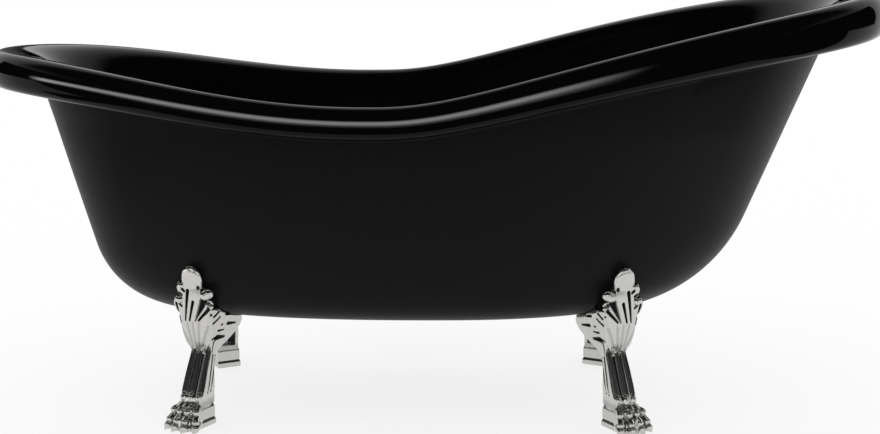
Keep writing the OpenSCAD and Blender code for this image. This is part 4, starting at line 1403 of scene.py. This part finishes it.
    def flags(self) -> tuple[bpy.types.Object, list[bpy.types.Object]]:
        """Add dark cards that only reflections see, on the floor in front, arched overhead, behind, at the
        ends, over the near rim and beside it, and the strip light and the fill cards between them.

        Returns:
            The strip light and the fill cards.
        """
        dark = self.dark_material("black studio flag")
        feathered = self.dark_material("black studio flag with feathered ends", (4.0, 9.0), (0.6, 2.3))
        short = self.dark_material("black studio flag, short", (1.3, 2.6))
        one_way = self.dark_material("black studio flag, black on one side", one_sided=True)
        angles = np.radians(np.linspace(*self.arch))
        arch = [(0.3 - self.arch_r[0] * math.cos(a), self.arch_r[1] * math.sin(a)) for a in angles]
        cards = [self.card("floor_flag", ((-5.5, 0.012), (-0.95, 0.012)), 8.0, dark),
                 self.card("roof_flag", arch, 9.0, feathered),
                 self.card("back_flag", ((3.2, 0.0), (3.2, 1.3)), 3.0, short),
                 self.card("basin_flag", ((-0.3, 0.62), (-0.3, 1.3)), 0.5, one_way, centre=0.08),
                 self.upright("left_flag", ((-8.2, -5.5), (-8.2, 5.0)), (0.02, 4.5), dark),
                 self.upright("right_flag", ((8.2, -5.5), (8.2, 5.0)), (0.02, 4.5), dark),
                 self.upright("side_flag", ((0.25, -0.4), (0.25, -2.8)), (0.6, 1.9), one_way)]
        strip = self.upright("strip_light", self.strip_path, self.strip_levels, self.strip_material())
        glow = self.glow_material()
        fills = [self.card("fill_card", ((-1.2, 0.0), (-1.2, 0.4)), 1.6, glow),
                 self.card("high_fill_card", ((-1.0, 1.6), (-0.6, 1.6)), 1.6, glow),
                 self.upright("left_fill_card", ((-1.4, -1.0), (-1.4, -0.2)), (0.0, 0.3), glow),
                 self.upright("right_fill_card", ((1.4, -1.0), (1.4, -0.2)), (0.0, 0.8), glow)]
        for card in (*cards, strip, *fills):
            card.visible_camera = False
            card.visible_diffuse = False
            card.visible_transmission = False
            card.visible_shadow = False
        return strip, fills

    @staticmethod
    def light_only(card: bpy.types.Object, pieces: Iterable[bpy.types.Object]) -> None:
        """Let a glowing card reach only some pieces, by light linking.

        Args:
            card: The strip light or a fill card.
            pieces: The pieces that it lights.
        """
        lit = bpy.data.collections.new(f"lit by the {card.name}")
        for piece in pieces:
            lit.objects.link(piece)
        card.light_linking.receiver_collection = lit

    def build(self) -> tuple[bpy.types.Object, list[bpy.types.Object]]:
        """Set up everything that isn't the bath.

        Returns:
            The strip light and the fill cards.
        """
        bpy.context.scene.view_settings.view_transform = "Standard"
        self.camera()
        self.world()
        self.floor()
        return self.flags()


# ---------------------------------------------------------------- dressing of frame nodes


# Finishes by the start of a node's name, of which the last that fits holds
NODE_FINISHES = {
    "inner_shell": GLOSS_ACRYLIC, "outer_shell": SATIN_ACRYLIC, "base_board": BOARD, "foot_": CHROME,
    "foot_bracket": ZINC, "foot_block": BOARD, "foot_screws": ZINC, "leveller_": ZINC,
    "leveller_pad": RUBBER, "bracket_": ZINC, "block_inserts": BRASS, "waste_": TURNED_CHROME,
    "waste_top_seal": RUBBER, "waste_bottom_seal": RUBBER, "waste_body": WHITE_PLASTIC,
    "plug_cap": TURNED_CHROME, "plug_seal": RUBBER, "overflow_": TURNED_CHROME, "overflow_seal": RUBBER,
    "overflow_elbow": WHITE_PLASTIC, "overflow_hose": HOSE_PLASTIC, "hose_clips": ZINC,
}
# Where the feet of each end stand, as they are for the front row
FOOT_PLACES = {Hand.LEFT: (-448.342, -232.544), Hand.RIGHT: (345.777, -249.597)}


def dress(frame: dict, finishes: dict[str, Finish]) -> None:
    """Give frame nodes a built finish in place of their plain one.

    Args:
        frame: The loaded frame.
        finishes: Finishes by the start of a node's name.
    """
    for prefix, finish in finishes.items():
        material = finish.build()
        for name, node in frame["nodes"].items():
            if name.startswith(prefix):
                node.data.materials.clear()
                node.data.materials.append(material)


def main() -> None:
    """Build the studio and the bath in order, and report each piece."""
    logging.basicConfig(level=logging.INFO, format="%(message)s")
    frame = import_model()
    strip, fills = Studio().build()
    form = BathForm()
    dress(frame, NODE_FINISHES)
    shells = Shells(form)
    chrome = CARVED_CHROME.build()
    step = CASTING_STEP
    feet = [ClawFoot(form, hand, row, place).build(chrome, step)
            for hand, place in FOOT_PLACES.items() for row in Row]
    skins = [shells.inner(), shells.outer()]
    Studio.light_only(strip, skins[:1])
    for fill in fills:
        Studio.light_only(fill, [node for name, node in frame["nodes"].items() if "shell" not in name] + feet)
    for piece in (*skins, *feet):
        LOG.info("%s: %d faces", piece.name, len(piece.data.polygons))


if __name__ == "__main__":
    main()
